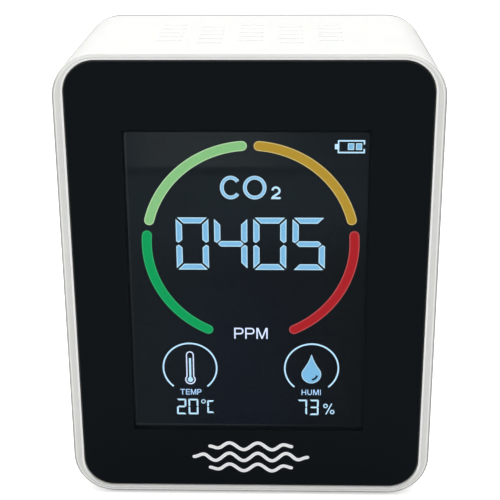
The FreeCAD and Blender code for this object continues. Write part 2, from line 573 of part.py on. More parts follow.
# ---------------------------------------------------------------- connectors and wires
BATTERY_PLUG = (-15.5, 12.5)    # x, y on the charger board
LOWER_PLUG = (13.0, 1.5)        # x, y on the charger board
UPPER_PLUG = (17.5, 22.5)       # x, z on the main board
BATTERY_PLUG_TOP, HARNESS_PLUG_TOP = 6.8, 6.2       # above the board
WIRE_GAP = 0.01                 # between a plug and the wires that leave it
LEAD_X = -CELL_W / 2 + 1.7      # where the battery leads meet the protection board


def socket(block, width, depth, height, base, place):
    """Open-topped box standing on a board; block sets the direction it stands in."""
    return block(width, depth, base, base + height, *place).cut(
        block(width - 1.2, depth - 1.2, base + 1.0, base + height + OVER, *place))


def tube(points, radius, start_direction, end_direction):
    """Round wire swept through points."""
    curve = Part.BSplineCurve()
    curve.interpolate(Points=points, InitialTangent=Vector(*start_direction),
                      FinalTangent=Vector(*end_direction))
    start = curve.tangent(curve.FirstParameter)[0]
    profile = Part.Wire([Part.makeCircle(radius, points[0], start)])
    return Part.Wire([curve.toShape()]).makePipeShell([profile], True, True)


def harness_wire(k):
    x = (k - 1.5) * 1.5
    sag = 0.5 if k % 2 else 0.0
    rise = HARNESS_PLUG_TOP + WIRE_GAP
    start = Vector(LOWER_PLUG[0] + x, LOWER_PLUG[1], CHARGER_Z1 + rise)
    end = Vector(UPPER_PLUG[0] + x, BOARD_Y1 + rise, UPPER_PLUG[1])
    points = [start, start + Vector(0.3, 0.3 + sag, 2.6), end + Vector(-0.6, 4.0 + sag, -1.6), end]
    return tube(points, 0.42, (0, 0, 1), (0, -1, 0))


def battery_lead(near_plug, near_cell):
    """Wire through points given as offsets from the plug's foot, then from the cell's front."""
    plug = Vector(*BATTERY_PLUG, CHARGER_Z1)
    pad = Vector(LEAD_X, CELL_Y0, CELL_Z)
    points = [plug + Vector(*p) for p in near_plug] + [pad + Vector(*p) for p in near_cell]
    return tube(points, 0.5, (0, 0, 1), (0, 1, 0))


save("battery_socket", socket(block_z, 6.4, 4.8, 5.0, CHARGER_Z1, BATTERY_PLUG))
save("battery_plug", block_z(5.0, 3.4, CHARGER_Z1 + 1.1, CHARGER_Z1 + BATTERY_PLUG_TOP,
                             *BATTERY_PLUG))
for name, block, base, place in (("lower", block_z, CHARGER_Z1, LOWER_PLUG),
                                 ("upper", block_y, BOARD_Y1, UPPER_PLUG)):
    save("harness_" + name + "_socket", socket(block, 8.6, 4.4, 4.6, base, place))
    save("harness_" + name + "_plug",
         block(7.2, 3.0, base + 1.1, base + HARNESS_PLUG_TOP, *place))
save("harness_wires", *[harness_wire(k) for k in range(4)])
lead_z = BATTERY_PLUG_TOP + WIRE_GAP
save("battery_lead_negative", battery_lead(
    [(-0.9, 0, lead_z), (-1.4, -0.5, 10.5)],
    [(1.9, -2.0, -17.0), (0, -2.2, -11.5), (0, 1.19, -9.0)]))
save("battery_lead_positive", battery_lead(
    [(0.9, 0, lead_z), (0.7, -1.2, 11.5)],
    [(3.8, -4.2, -15.0), (0.2, -3.8, -7.0), (0, 1.19, -4.0)]))


# ---------------------------------------------------------------- rear cover
def in_cavity(margin, y0, y1):
    """Plate that fills the housing's cavity but for a margin all round."""
    return rounded_y(INNER_W - 2 * margin, INNER_H - 2 * margin, INNER_R - margin,
                     y0, y1, 0, MID_Z)


def cover_body():
    y_root = COVER_Y0 + 0.2
    plate = in_cavity(0.1 - COVER_STEP, COVER_Y0, REAR_Y)
    plate = plate.makeFillet(0.3, edges_at(plate, REAR_Y))
    lip = in_cavity(0.15, LIP_Y, y_root).cut(
        in_cavity(0.15 + LIP_T, LIP_Y - OVER, y_root + OVER))
    # the screw posts stay inside the lip's outline
    posts = [cyl_y(COVER_BOSS_R, LIP_Y, y_root, x, z).common(
        in_cavity(0.15, LIP_Y - OVER, COVER_Y0 + OVER)) for x, z in COVER_SCREWS]
    # low walls that cradle the battery
    cradle_y = COVER_Y0 - 4.5
    cradle = [block_y(38.0, 1.2, cradle_y, y_root, 1.0, CELL_Z + side * (CELL_H / 2 + 0.9))
              for side in SIDES]
    cradle.append(box(CELL_W / 2 + 0.3, CELL_W / 2 + 1.5, cradle_y, y_root,
                      CELL_Z - 11, CELL_Z + 11))
    # pair of ribs either side of the button's key
    key_ribs = [box(BUTTON_X + side * 0.92, BUTTON_X + side * 1.72, COVER_Y0 - 1.6, y_root,
                    BUTTON_Z + 4.7, BUTTON_Z + 6.3) for side in SIDES]
    return fuse([plate, lip] + posts + cradle + key_ribs)


def rear_cover():
    y_out = REAR_Y + OVER
    tools = []
    for x, z in COVER_SCREWS:
        tools.append(cyl_y(1.4, LIP_Y - OVER, y_out, x, z))
        tools.append(cyl_y(2.7, COVER_SCREW_SEAT, y_out, x, z))
    for x, z in vent_centres(SENSOR_Z - 2 * ROW_PITCH, ROW_PITCH / 2):
        tools.append(rounded_y(SLOT_L, SLOT_W, SLOT_R, COVER_Y0 - OVER, y_out, x, z))
    # inlet cut-out with a shallow lead-in
    for grow, trim, y in ((0.4, 0.02, COVER_Y0 - 3), (2.6, 0.05, REAR_Y - 0.6)):
        tools.append(rounded_y(PORT_W + grow, PORT_H + grow, (PORT_H + grow) / 2 - trim,
                               y, y_out, PORT_X, PORT_Z))
    # button hole in a shallow dish
    tools.append(cyl_y(BUTTON_R + 0.1, COVER_Y0 - OVER, y_out, *BUTTON))
    tools.append(Part.makeCone(BUTTON_R + 0.1, BUTTON_R + 1.3, 0.6,
                               Vector(BUTTON_X, REAR_Y - 0.6, BUTTON_Z), Vector(0, 1, 0)))
    return cut(cover_body(), tools)


def power_button():
    """Cap flush with the rear face, flange, key that stops it turning, and stem."""
    flange_y0, flange_y1 = COVER_Y0 - 0.85, COVER_Y0 - 0.05
    cap = cyl_y(BUTTON_R, flange_y0 + 0.1, REAR_Y, *BUTTON)
    cap = cap.makeFillet(0.5, edges_at(cap, REAR_Y))
    flange = cyl_y(BUTTON_R + 1.0, flange_y0, flange_y1, *BUTTON)
    key = box(BUTTON_X - 0.82, BUTTON_X + 0.82, flange_y0, flange_y1,
              BUTTON_Z + 3.5, BUTTON_Z + 5.9)
    stem = cyl_y(1.5, PLUNGER_Y1 + 0.02, flange_y0 + 0.1, *BUTTON)
    # the face is dished by a large sphere
    dish_r, dish_depth = 14.0, 0.25
    dish = Part.makeSphere(dish_r, Vector(BUTTON_X, REAR_Y + dish_r - dish_depth, BUTTON_Z))
    return fuse([cap, flange, key, stem]).cut(dish)


save("rear_cover", rear_cover())
save("power_button", power_button())


# ---------------------------------------------------------------- fasteners and feet
def screw(axis, place, seat, head_r, head_h, shank_r, length, cross):
    """Cross-head screw entering against +axis; those along Y have a tapered tip."""
    cylinder, block = (cyl_y, block_y) if axis == "Y" else (cyl_z, block_z)
    tip = 0.8 if axis == "Y" else 0
    top = seat + head_h
    head = cylinder(head_r, seat, top, *place)
    head = head.makeFillet(head_h * 0.45, edges_at(head, top, axis))
    solids = [head, cylinder(shank_r, seat - length + tip, seat + 0.1, *place)]
    if tip:
        end = Vector(place[0], seat - length, place[1])
        solids.append(Part.makeCone(0.3, shank_r, tip, end, Vector(0, 1, 0)))
    recess = [block(*size, top - head_h * 0.6, top + OVER, *place)
              for size in ((cross, cross * 0.24), (cross * 0.24, cross))]
    return cut(fuse(solids), recess)


def rubber_foot(x, y):
    foot = cyl_z(FOOT_R, 0.0, FOOT_T, x, y)
    return foot.makeFillet(0.3, edges_at(foot, 0.0, "Z"))


SMALL_HEAD = dict(head_r=1.9, head_h=1.3, shank_r=0.95, cross=2.2)
save("rear_cover_screws", *[
    screw("Y", place, COVER_SCREW_SEAT, head_r=2.45, head_h=1.5, shank_r=1.2, length=10.0,
          cross=2.9) for place in COVER_SCREWS])
save("main_board_screws", *[
    screw("Y", place, BOARD_Y1, length=6.0, **SMALL_HEAD) for place in BOARD_SCREWS])
save("charger_board_screws", *[
    screw("Z", place, CHARGER_Z1, length=4.4, **SMALL_HEAD) for place in CHARGER_SCREWS])
save("rubber_feet", *[rubber_foot(x, y) for x, y in FEET])
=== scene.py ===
"""Desktop CO2 monitor: white housing, dark lens with a lit segment display, electronics inside.

It stands on the floor (z = 0). Materials and flat artwork work in millimetres.
"""

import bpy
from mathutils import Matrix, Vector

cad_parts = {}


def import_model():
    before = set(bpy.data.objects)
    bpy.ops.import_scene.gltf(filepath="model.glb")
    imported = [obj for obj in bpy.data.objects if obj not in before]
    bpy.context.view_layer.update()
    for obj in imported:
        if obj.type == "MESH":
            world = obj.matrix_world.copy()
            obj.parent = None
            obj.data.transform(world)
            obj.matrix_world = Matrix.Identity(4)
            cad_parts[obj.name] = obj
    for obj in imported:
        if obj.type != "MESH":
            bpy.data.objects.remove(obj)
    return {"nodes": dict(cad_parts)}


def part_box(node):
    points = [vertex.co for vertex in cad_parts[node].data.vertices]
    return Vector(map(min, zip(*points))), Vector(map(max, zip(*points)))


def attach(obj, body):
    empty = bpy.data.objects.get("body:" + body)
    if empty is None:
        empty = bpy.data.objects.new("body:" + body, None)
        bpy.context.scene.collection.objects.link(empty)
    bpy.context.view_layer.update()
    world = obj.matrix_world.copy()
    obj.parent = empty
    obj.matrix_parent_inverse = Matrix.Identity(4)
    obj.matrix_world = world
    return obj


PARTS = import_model()["nodes"]

import math
from functools import cached_property

import bpy
import bmesh
from mathutils import Matrix, Vector

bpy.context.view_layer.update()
MM = 0.001


# ------------------------------------------------------------------ node helpers
class Tree:
    """One material's node tree, with short methods that add nodes and return their outputs."""

    def __init__(self, name):
        self.material = bpy.data.materials.new(name)
        self.material.use_nodes = True
        self.tree = self.material.node_tree
        self.tree.nodes.clear()
        output = self.node("ShaderNodeOutputMaterial")
        self.bsdf = self.node("ShaderNodeBsdfPrincipled")
        self.link(self.bsdf.outputs[0], output.inputs["Surface"])

    def link(self, output, socket):
        self.tree.links.new(output, socket)

    def node(self, kind, **settings):
        node = self.tree.nodes.new(kind)
        for key, value in settings.items():
            setattr(node, key, value)
        return node

    def feed(self, socket, value):
        """Put a number or a colour on a socket, or link an output to it."""
        if isinstance(value, (int, float)):
            socket.default_value = value
        elif isinstance(value, (tuple, list)):
            is_colour = len(socket.default_value) == 4
            socket.default_value = (*value[:3], 1.0) if is_colour else value
        else:
            self.link(value, socket)

    def set(self, key, value):
        """Feed an input of the surface shader."""
        self.feed(self.bsdf.inputs[key], value)
        return self

    def source(self, key):
        """The output that feeds an input of the surface shader."""
        return self.bsdf.inputs[key].links[0].from_socket

    @cached_property
    def position(self):
        """Object coordinates in millimetres."""
        coords = self.node("ShaderNodeTexCoord")
        scaled = self.node("ShaderNodeVectorMath", operation="SCALE")
        scaled.inputs["Scale"].default_value = 1000.0
        self.link(coords.outputs["Object"], scaled.inputs[0])
        return scaled.outputs[0]

    def normal(self):
        return self.node("ShaderNodeNewGeometry").outputs["Normal"]

    def facing(self):
        """0 where the surface faces the viewer, towards 1 where it is seen edge on."""
        weight = self.node("ShaderNodeLayerWeight")
        weight.inputs["Blend"].default_value = 0.5
        return weight.outputs["Facing"]

    def sep(self, vector=None):
        node = self.node("ShaderNodeSeparateXYZ")
        self.link(vector or self.position, node.inputs[0])
        return node.outputs

    def comb(self, *values):
        node = self.node("ShaderNodeCombineXYZ")
        for socket, value in zip(node.inputs, values):
            self.feed(socket, value)
        return node.outputs[0]

    def calc(self, operation, *values, clamp=False):
        node = self.node("ShaderNodeMath", operation=operation, use_clamp=clamp)
        for i, value in enumerate(values):
            self.feed(node.inputs[i], value)
        return node.outputs[0]

    def add(self, a, b):
        return self.calc("ADD", a, b)

    def sub(self, a, b, clamp=False):
        return self.calc("SUBTRACT", a, b, clamp=clamp)

    def mul(self, a, b):
        return self.calc("MULTIPLY", a, b)

    def most(self, a, b):
        return self.calc("MAXIMUM", a, b)

    def size(self, a):
        return self.calc("ABSOLUTE", a)

    def weighted(self, first, second):
        """Sum of two (value, weight) pairs."""
        return self.add(self.mul(*first), self.mul(*second))

    def remap(self, value, over, to=(0.0, 1.0), smooth=False):
        """Map the range `over` to the range `to`, clamped."""
        node = self.node("ShaderNodeMapRange", clamp=True)
        if smooth:
            node.interpolation_type = "SMOOTHSTEP"
        self.link(value, node.inputs["Value"])
        for key, number in zip(("From Min", "From Max", "To Min", "To Max"), (*over, *to)):
            node.inputs[key].default_value = number
        return node.outputs["Result"]

    def near(self, value, centre, over, to=(1.0, 0.0)):
        """Remap by the distance from `centre`."""
        return self.remap(self.size(self.sub(value, centre)), over=over, to=to)

    def noise(self, scale, detail=4.0, rough=0.55, vector=None, distortion=0.0):
        """Noise whose feature size is about 1/scale millimetres."""
        node = self.node("ShaderNodeTexNoise")
        node.inputs["Scale"].default_value = scale
        node.inputs["Detail"].default_value = detail
        node.inputs["Roughness"].default_value = rough
        node.inputs["Distortion"].default_value = distortion
        self.link(vector or self.position, node.inputs["Vector"])
        return node.outputs["Fac"]

    def voronoi(self, scale, feature="F1", metric="EUCLIDEAN", vector=None, random=1.0):
        node = self.node("ShaderNodeTexVoronoi", feature=feature)
        if feature != "DISTANCE_TO_EDGE":
            node.distance = metric
        node.inputs["Scale"].default_value = scale
        node.inputs["Randomness"].default_value = random
        self.link(vector or self.position, node.inputs["Vector"])
        return node.outputs

    def mix(self, factor, a, b, blend="MIX"):
        node = self.node("ShaderNodeMix", data_type="RGBA", blend_type=blend)
        for i, value in ((0, factor), (6, a), (7, b)):
            self.feed(node.inputs[i], value)
        return node.outputs[2]

    def bump(self, height, strength, depth):
        """Bump normal; depth is in millimetres."""
        node = self.node("ShaderNodeBump")
        node.inputs["Strength"].default_value = strength
        node.inputs["Distance"].default_value = depth * MM
        self.link(height, node.inputs["Height"])
        return node.outputs[0]

    def edge(self, radius):
        """0 on flats, towards 1 at edges, where a rounded normal leaves the true one."""
        bevel = self.node("ShaderNodeBevel", samples=4)
        bevel.inputs["Radius"].default_value = radius * MM
        dot = self.node("ShaderNodeVectorMath", operation="DOT_PRODUCT")
        self.link(bevel.outputs[0], dot.inputs[0])
        self.link(self.normal(), dot.inputs[1])
        return self.remap(dot.outputs["Value"], over=(0.995, 0.80))

    def rrect(self, x, z, mid_x, mid_z, half_x, half_z, radius):
        """Signed distance in millimetres to a rounded rectangle, negative inside."""
        over_x = self.sub(self.size(self.sub(x, mid_x)), half_x - radius)
        over_z = self.sub(self.size(self.sub(z, mid_z)), half_z - radius)
        out_x = self.most(over_x, 0.0)
        out_z = self.most(over_z, 0.0)
        outside = self.calc("SQRT", self.add(self.mul(out_x, out_x), self.mul(out_z, out_z)))
        inside = self.calc("MINIMUM", self.most(over_x, over_z), 0.0)
        return self.sub(self.add(outside, inside), radius)


def srgb(*channels):
    """sRGB 0..255 to linear."""
    linear = []
    for value in channels:
        value /= 255.0
        linear.append(value / 12.92 if value <= 0.04045 else ((value + 0.055) / 1.055) ** 2.4)
    return tuple(linear)


def shade(colour, factor):
    return tuple(min(1.0, channel * factor) for channel in colour)


# ------------------------------------------------------------------ driving outlines
def inner_window():
    """Window in the printed border: x0, x1, z0, z1 in mm, from the print's inner outline."""
    low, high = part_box("lens_border_print")
    points = [v.co for v in PARTS["lens_border_print"].data.vertices]
    xs = sorted({round(p.x, 6) for p in points if 0.015 < abs(p.x) < abs(low.x) * 0.75})
    zs = sorted({round(p.z, 6) for p in points if low.z + 0.008 < p.z < high.z - 0.008})
    return [value * 1000 for value in (xs[0], xs[-1], zs[0], zs[-1])]


def rectangle(x0, x1, z0, z1, radius):
    """Arguments of Tree.rrect for a rectangle given by its sides."""
    return (x0 + x1) / 2, (z0 + z1) / 2, (x1 - x0) / 2, (z1 - z0) / 2, radius


def outline_of(part, radius, gap=0.0):
    """Arguments of Tree.rrect for a part's front outline, widened all round by a gap."""
    low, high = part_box(part)
    return ((low.x + high.x) * 500, (low.z + high.z) * 500,
            (high.x - low.x) * 500 + gap, (high.z - low.z) * 500 + gap, radius)


WINDOW = inner_window()
WINDOW_RADIUS = 0.4
HOUSING_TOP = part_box("front_housing")[1].z * 1000
HOUSING_OUTLINE = outline_of("front_housing", radius=8.5)
LENS_OPENING = outline_of("front_lens", radius=6.3, gap=0.15)


# ------------------------------------------------------------------ materials
def moulded(name, colour, rough, grain, depth, var, edge=0.0):
    """Moulded plastic: eroded grain, faint flow variation, optionally polished edges with a
    painted highlight.
    """
    tree = Tree(name)
    broad = tree.noise(scale=0.045, detail=3.0, rough=0.5)
    medium = tree.noise(scale=0.6)
    flow = tree.weighted((broad, 0.6), (medium, 0.4))
    colour_out = tree.mix(tree.remap(flow, over=(0.35, 0.65)),
                          shade(colour, 1.0 - var), shade(colour, 1.0 + var * 0.4))
    fine = tree.noise(scale=grain, detail=6.0, rough=0.62)
    pits = tree.voronoi(scale=grain * 0.9)["Distance"]
    height = tree.weighted((fine, 0.7), (pits, 0.5))
    rough_out = tree.remap(tree.weighted((medium, 0.5), (fine, 0.5)),
                           over=(0.3, 0.7), to=(rough - 0.06, rough + 0.07))
    if edge:
        # edges are smoother, and painted lighter as a highlight
        polish_and_highlight = tree.edge(radius=0.3)
        colour_out = tree.mix(tree.mul(polish_and_highlight, edge), colour_out, shade(colour, 1.08))
        rough_out = tree.sub(rough_out, tree.mul(polish_and_highlight, 0.10), clamp=True)
    tree.set("Base Color", colour_out).set("Roughness", rough_out)
    tree.set("Specular IOR Level", 0.5)
    tree.set("Normal", tree.bump(height, strength=0.35, depth=depth))
    return tree


def metal(name, colour, rough, drawn=False, grain=3.0, metallic=1.0, tarnish=None):
    """Plated metal with a little tarnish; drawn metal has its grain along Y."""
    tree = Tree(name)
    squeeze = (1.0, 0.12 if drawn else 1.0, 1.0)
    vector = tree.comb(*[tree.mul(axis, factor) for axis, factor in zip(tree.sep(), squeeze)])
    brushed = tree.noise(scale=grain * 2.2, detail=6.0, rough=0.65, vector=vector)
    blotch = tree.noise(scale=0.35, rough=0.6)
    colour_out = tree.mix(tree.remap(blotch, over=(0.42, 0.72), to=(0.0, 0.55)),
                          colour, tarnish or shade(colour, 0.72))
    colour_out = tree.mix(tree.remap(brushed, over=(0.3, 0.75), to=(0.0, 0.18)),
                          colour_out, shade(colour, 1.15))
    tree.set("Base Color", colour_out).set("Metallic", metallic)
    tree.set("Roughness", tree.remap(tree.weighted((brushed, 0.6), (blotch, 0.4)),
                                     over=(0.3, 0.75), to=(rough - 0.09, rough + 0.14)))
    tree.set("Normal", tree.bump(brushed, strength=0.3, depth=0.003))
    return tree


def rubber(name, colour, rough):
    """Dull rubber or foam with a little dust."""
    tree = Tree(name)
    fine = tree.noise(scale=7.0, detail=5.0, rough=0.6)
    dust = tree.noise(scale=0.5, detail=5.0, rough=0.65)
    dusty = shade(tuple(channel + 0.03 for channel in colour), 1.5)
    tree.set("Base Color", tree.mix(tree.remap(dust, over=(0.48, 0.75), to=(0.0, 0.45)),
                                    colour, dusty))
    tree.set("Roughness", tree.remap(dust, over=(0.3, 0.7), to=(rough - 0.1, rough + 0.12)))
    tree.set("Normal", tree.bump(fine, strength=0.5, depth=0.02))
    tree.set("Specular IOR Level", 0.3)
    return tree


def board(name, plane, seed):
    """Circuit board facing along `plane`; the seed shifts its pattern.

    Copper runs and pours show lighter and raised under the mask; the sides show bare laminate.
    """
    mask = (0.012, 0.120, 0.052)
    tree = Tree(name)
    x, y, z = tree.sep()
    flat = tree.comb(tree.add(x, seed), tree.add(z if plane == "y" else y, seed * 1.7), 0.0)
    # runs: evenly spaced lines that follow the cell borders
    border = tree.voronoi(scale=0.22, feature="DISTANCE_TO_EDGE", vector=flat,
                          random=0.85)["Distance"]
    run = tree.near(tree.calc("FRACT", tree.mul(border, 4.2)), 0.5, over=(0.16, 0.26))
    # pours: about half of the larger city-block cells
    cells = tree.voronoi(scale=0.05, metric="MANHATTAN", vector=flat)
    channels = tree.node("ShaderNodeSeparateColor")
    tree.link(cells["Color"], channels.inputs[0])
    pour = tree.remap(channels.outputs[0], over=(0.46, 0.50))
    copper = tree.most(tree.mul(run, tree.sub(1.0, pour)), tree.mul(pour, 0.85))
    # vias: a gilt ring round a dark hole
    spot = tree.voronoi(scale=0.42, vector=flat)["Distance"]
    via = tree.remap(spot, over=(0.10, 0.12), to=(1.0, 0.0))
    ring = tree.mul(via, tree.remap(spot, over=(0.055, 0.065)))
    colour = tree.mix(copper, mask, shade(mask, 2.1))
    colour = tree.mix(tree.mul(ring, 0.9), colour, (0.55, 0.42, 0.16))
    hole = tree.mul(tree.sub(via, ring, clamp=True), 0.9)
    colour = tree.mix(hole, colour, (0.01, 0.02, 0.015))
    across = tree.sep(tree.normal())[1 if plane == "y" else 2]
    side = tree.remap(tree.size(across), over=(0.5, 0.6), to=(1.0, 0.0))
    weave = tree.noise(scale=6.0, detail=3.0, rough=0.5)
    laminate = tree.mix(weave, (0.20, 0.22, 0.09), (0.30, 0.30, 0.14))
    tree.set("Base Color", tree.mix(side, colour, laminate))
    tree.set("Roughness", tree.remap(side, over=(0.0, 1.0), to=(0.26, 0.7)))
    tree.set("Coat Weight", tree.remap(side, over=(0.0, 1.0), to=(0.35, 0.0)))
    height = tree.weighted((copper, 0.7), (weave, 0.25))
    tree.set("Normal", tree.bump(height, strength=0.5, depth=0.03))
    return tree


def chip(name, colour=(0.016, 0.016, 0.018)):
    """Black epoxy package."""
    tree = Tree(name)
    fine = tree.noise(scale=9.0, detail=5.0, rough=0.65)
    swirl = tree.noise(scale=0.5, detail=3.0, rough=0.5)
    tree.set("Base Color", tree.mix(tree.remap(swirl, over=(0.35, 0.65)),
                                    colour, shade(colour, 1.9)))
    tree.set("Roughness", tree.remap(fine, over=(0.3, 0.7), to=(0.50, 0.70)))
    tree.set("Normal", tree.bump(fine, strength=0.5, depth=0.012))
    return tree


def chip_with_leads(name, part, plane):
    """Epoxy package whose lowest 0.2 mm is tinned leads round the rim of the footprint."""
    low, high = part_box(part)
    middle = [(a + b) * 500 for a, b in zip(low, high)]
    half = [(b - a) * 500 for a, b in zip(low, high)]
    level, side = (1, 2) if plane == "y" else (2, 1)
    seat = low[level] * 1000
    tree = chip(name)
    lead = tree.remap(tree.sep()[level], over=(seat + 0.19, seat + 0.20), to=(1.0, 0.0))
    axes = tree.sep()
    rim_x = tree.near(axes[0], middle[0], over=(half[0] - 0.93, half[0] - 0.90), to=(0.0, 1.0))
    rim_side = tree.near(axes[side], middle[side],
                         over=(half[side] - 1.03, half[side] - 0.98), to=(0.0, 1.0))
    tinned = tree.mul(lead, tree.most(rim_x, rim_side))
    tree.set("Base Color", tree.mix(tinned, tree.source("Base Color"), (0.62, 0.62, 0.60)))
    tree.set("Metallic", tinned)
    tree.set("Roughness", tree.sub(tree.source("Roughness"), tree.mul(tinned, 0.3)))
    return tree


def ceramic(name, colours, rough):
    """Small ceramic parts: each separate piece takes one of two tones."""
    tree = Tree(name)
    island = tree.node("ShaderNodeNewGeometry").outputs["Random Per Island"]
    colour = tree.mix(tree.remap(island, over=(0.45, 0.55)), *colours)
    fine = tree.noise(scale=8.0, detail=5.0, rough=0.6)
    tone = tree.noise(scale=1.1, detail=3.0, rough=0.6)
    colour = tree.mix(tree.remap(tone, over=(0.3, 0.7), to=(0.0, 0.4)),
                      colour, shade(colours[0], 0.6))
    tree.set("Base Color", colour)
    tree.set("Roughness", tree.remap(fine, over=(0.3, 0.7), to=(rough - 0.1, rough + 0.15)))
    tree.set("Normal", tree.bump(fine, strength=0.4, depth=0.01))
    return tree


def film(name, colour, rough, alpha=1.0, second=None, metallic=0.0):
    """Smooth sheet or glass that drifts between two tints."""
    tree = Tree(name)
    drift = tree.noise(scale=0.12, detail=3.0, rough=0.5)
    fine = tree.noise(scale=4.0, rough=0.5)
    tree.set("Base Color", tree.mix(tree.remap(drift, over=(0.35, 0.65)),
                                    colour, second or shade(colour, 0.86)))
    tree.set("Roughness", tree.remap(fine, over=(0.3, 0.7),
                                     to=(max(0.02, rough - 0.04), rough + 0.06)))
    tree.set("Metallic", metallic).set("Alpha", alpha)
    tree.set("Normal", tree.bump(fine, strength=0.08, depth=0.004))
    return tree


def foil(name):
    """Laminated foil pouch: silver, faintly crinkled."""
    tree = Tree(name)
    crinkle = tree.voronoi(scale=0.45, feature="DISTANCE_TO_EDGE")["Distance"]
    soft = tree.noise(scale=0.35, detail=6.0, rough=0.62, distortion=0.6)
    fine = tree.noise(scale=5.0, rough=0.6)
    height = tree.weighted((soft, 1.0), (tree.remap(crinkle, over=(0.0, 0.12)), 0.12))
    tree.set("Base Color", tree.mix(tree.remap(soft, over=(0.35, 0.7)),
                                    (0.52, 0.53, 0.55), (0.72, 0.73, 0.75)))
    tree.set("Metallic", 0.9)
    tree.set("Roughness", tree.remap(tree.weighted((soft, 0.6), (fine, 0.4)),
                                     over=(0.3, 0.7), to=(0.24, 0.42)))
    tree.set("Normal", tree.bump(height, strength=0.5, depth=0.25))
    return tree


def felt(name, colour):
    tree = Tree(name)
    fibres = tree.noise(scale=6.0, detail=8.0, rough=0.75, distortion=1.5)
    tree.set("Base Color", tree.mix(fibres, shade(colour, 0.72), colour))
    tree.set("Roughness", 0.95).set("Sheen Weight", 0.3)
    tree.set("Normal", tree.bump(fibres, strength=0.8, depth=0.05))
    return tree


def kapton(name, visible):
    """Flexible circuit: amber film over copper tracks 0.5 mm apart in X."""
    tree = Tree(name)
    wave = tree.calc("FRACT", tree.mul(tree.sep()[0], 2.0))
    track = tree.near(wave, 0.5, over=(0.20, 0.26))
    tone = tree.noise(scale=0.4, detail=3.0, rough=0.5)
    amber = tree.mix(tone, (0.42, 0.17, 0.02), (0.55, 0.25, 0.04))
    tree.set("Base Color", tree.mix(tree.mul(track, visible), amber, (0.75, 0.42, 0.12)))
    tree.set("Roughness", tree.remap(tone, over=(0.3, 0.7), to=(0.2, 0.34)))
    tree.set("Coat Weight", 0.4)
    tree.set("Normal", tree.bump(track, strength=0.3, depth=0.02))
    return tree


def sleeve(name, colour):
    """Wire insulation."""
    tree = Tree(name)
    tone = tree.noise(scale=1.2, detail=3.0, rough=0.5)
    fine = tree.noise(scale=9.0, detail=3.0, rough=0.5)
    tree.set("Base Color", tree.mix(tone, shade(colour, 0.8), shade(colour, 1.15)))
    tree.set("Roughness", tree.remap(fine, over=(0.3, 0.7), to=(0.34, 0.5)))
    tree.set("Normal", tree.bump(fine, strength=0.2, depth=0.01))
    return tree


def lens_acrylic(name):
    """Smoked, hard-coated acrylic.

    Over the window it is mostly clear and carries the reflection; over the printed border it is
    opaque, dark as the print.
    """
    x0, x1, z0, z1 = WINDOW
    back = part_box("front_lens")[1].y * 1000
    tree = Tree(name)
    x, y, z = tree.sep()
    # the clear field reaches a little past the window at the sides and the top
    distance = tree.rrect(x, z, *rectangle(x0 - 0.22, x1 + 0.22, z0, z1 + 0.72, WINDOW_RADIUS))
    border = tree.mul(tree.remap(distance, over=(0.0, 0.2)),
                      tree.remap(y, over=(back - 0.06, back - 0.02), to=(1.0, 0.0)))
    drift = tree.noise(scale=0.03, detail=2.0, rough=0.5)
    smear = tree.noise(scale=0.10, detail=5.0, rough=0.6, distortion=0.8)
    fine = tree.noise(scale=3.0, detail=3.0, rough=0.5)
    tree.set("Base Color", tree.mix(drift, (0.0052, 0.0078, 0.0100), (0.0064, 0.0094, 0.0120)))
    tree.set("Roughness", tree.remap(smear, over=(0.35, 0.75), to=(0.035, 0.085)))
    clear = tree.remap(tree.calc("POWER", tree.facing(), 4.0), over=(0.0, 1.0), to=(0.16, 0.85))
    tree.set("Alpha", tree.most(clear, border))
    tree.set("IOR", tree.remap(border, over=(0.0, 1.0), to=(2.6, 1.42)))
    height = tree.weighted((smear, 0.5), (fine, 0.02))
    tree.set("Normal", tree.bump(height, strength=0.06, depth=0.02))
    return tree


def glow(name, colour, border, strength):
    """Lit display segment: backlight through a colour filter, paler towards its border."""
    tree = Tree(name)
    edge = tree.node("ShaderNodeAttribute", attribute_name="edge")
    tone = tree.noise(scale=0.9, detail=3.0, rough=0.5)
    fine = tree.noise(scale=5.0, detail=2.0, rough=0.5)
    lit = tree.mix(tree.remap(edge.outputs["Fac"], over=(0.10, 0.62)), colour, border)
    lit = tree.mix(tree.remap(tone, over=(0.3, 0.7), to=(0.0, 0.12)), lit, shade(colour, 0.72))
    tree.set("Base Color", (0.0, 0.0, 0.0)).set("Roughness", 0.4)
    tree.set("Specular IOR Level", 0.2)
    tree.set("Emission Color", lit)
    tree.set("Emission Strength", tree.remap(fine, over=(0.3, 0.7),
                                             to=(strength * 0.95, strength * 1.05)))
    return tree


# brightness of the backlight's leak through the unlit display, and of a painted reflection band
GROUND_BASE = 0.0058
GROUND_LEFT = 0.0062
GROUND_TOP = 0.0080
REFLECTION_BAND_BRIGHTNESS = 0.0118
LEAK_BRIGHTNESS = 0.016
REFLECTION_BAND_Z = 71.9  # where the neutral band begins, in mm


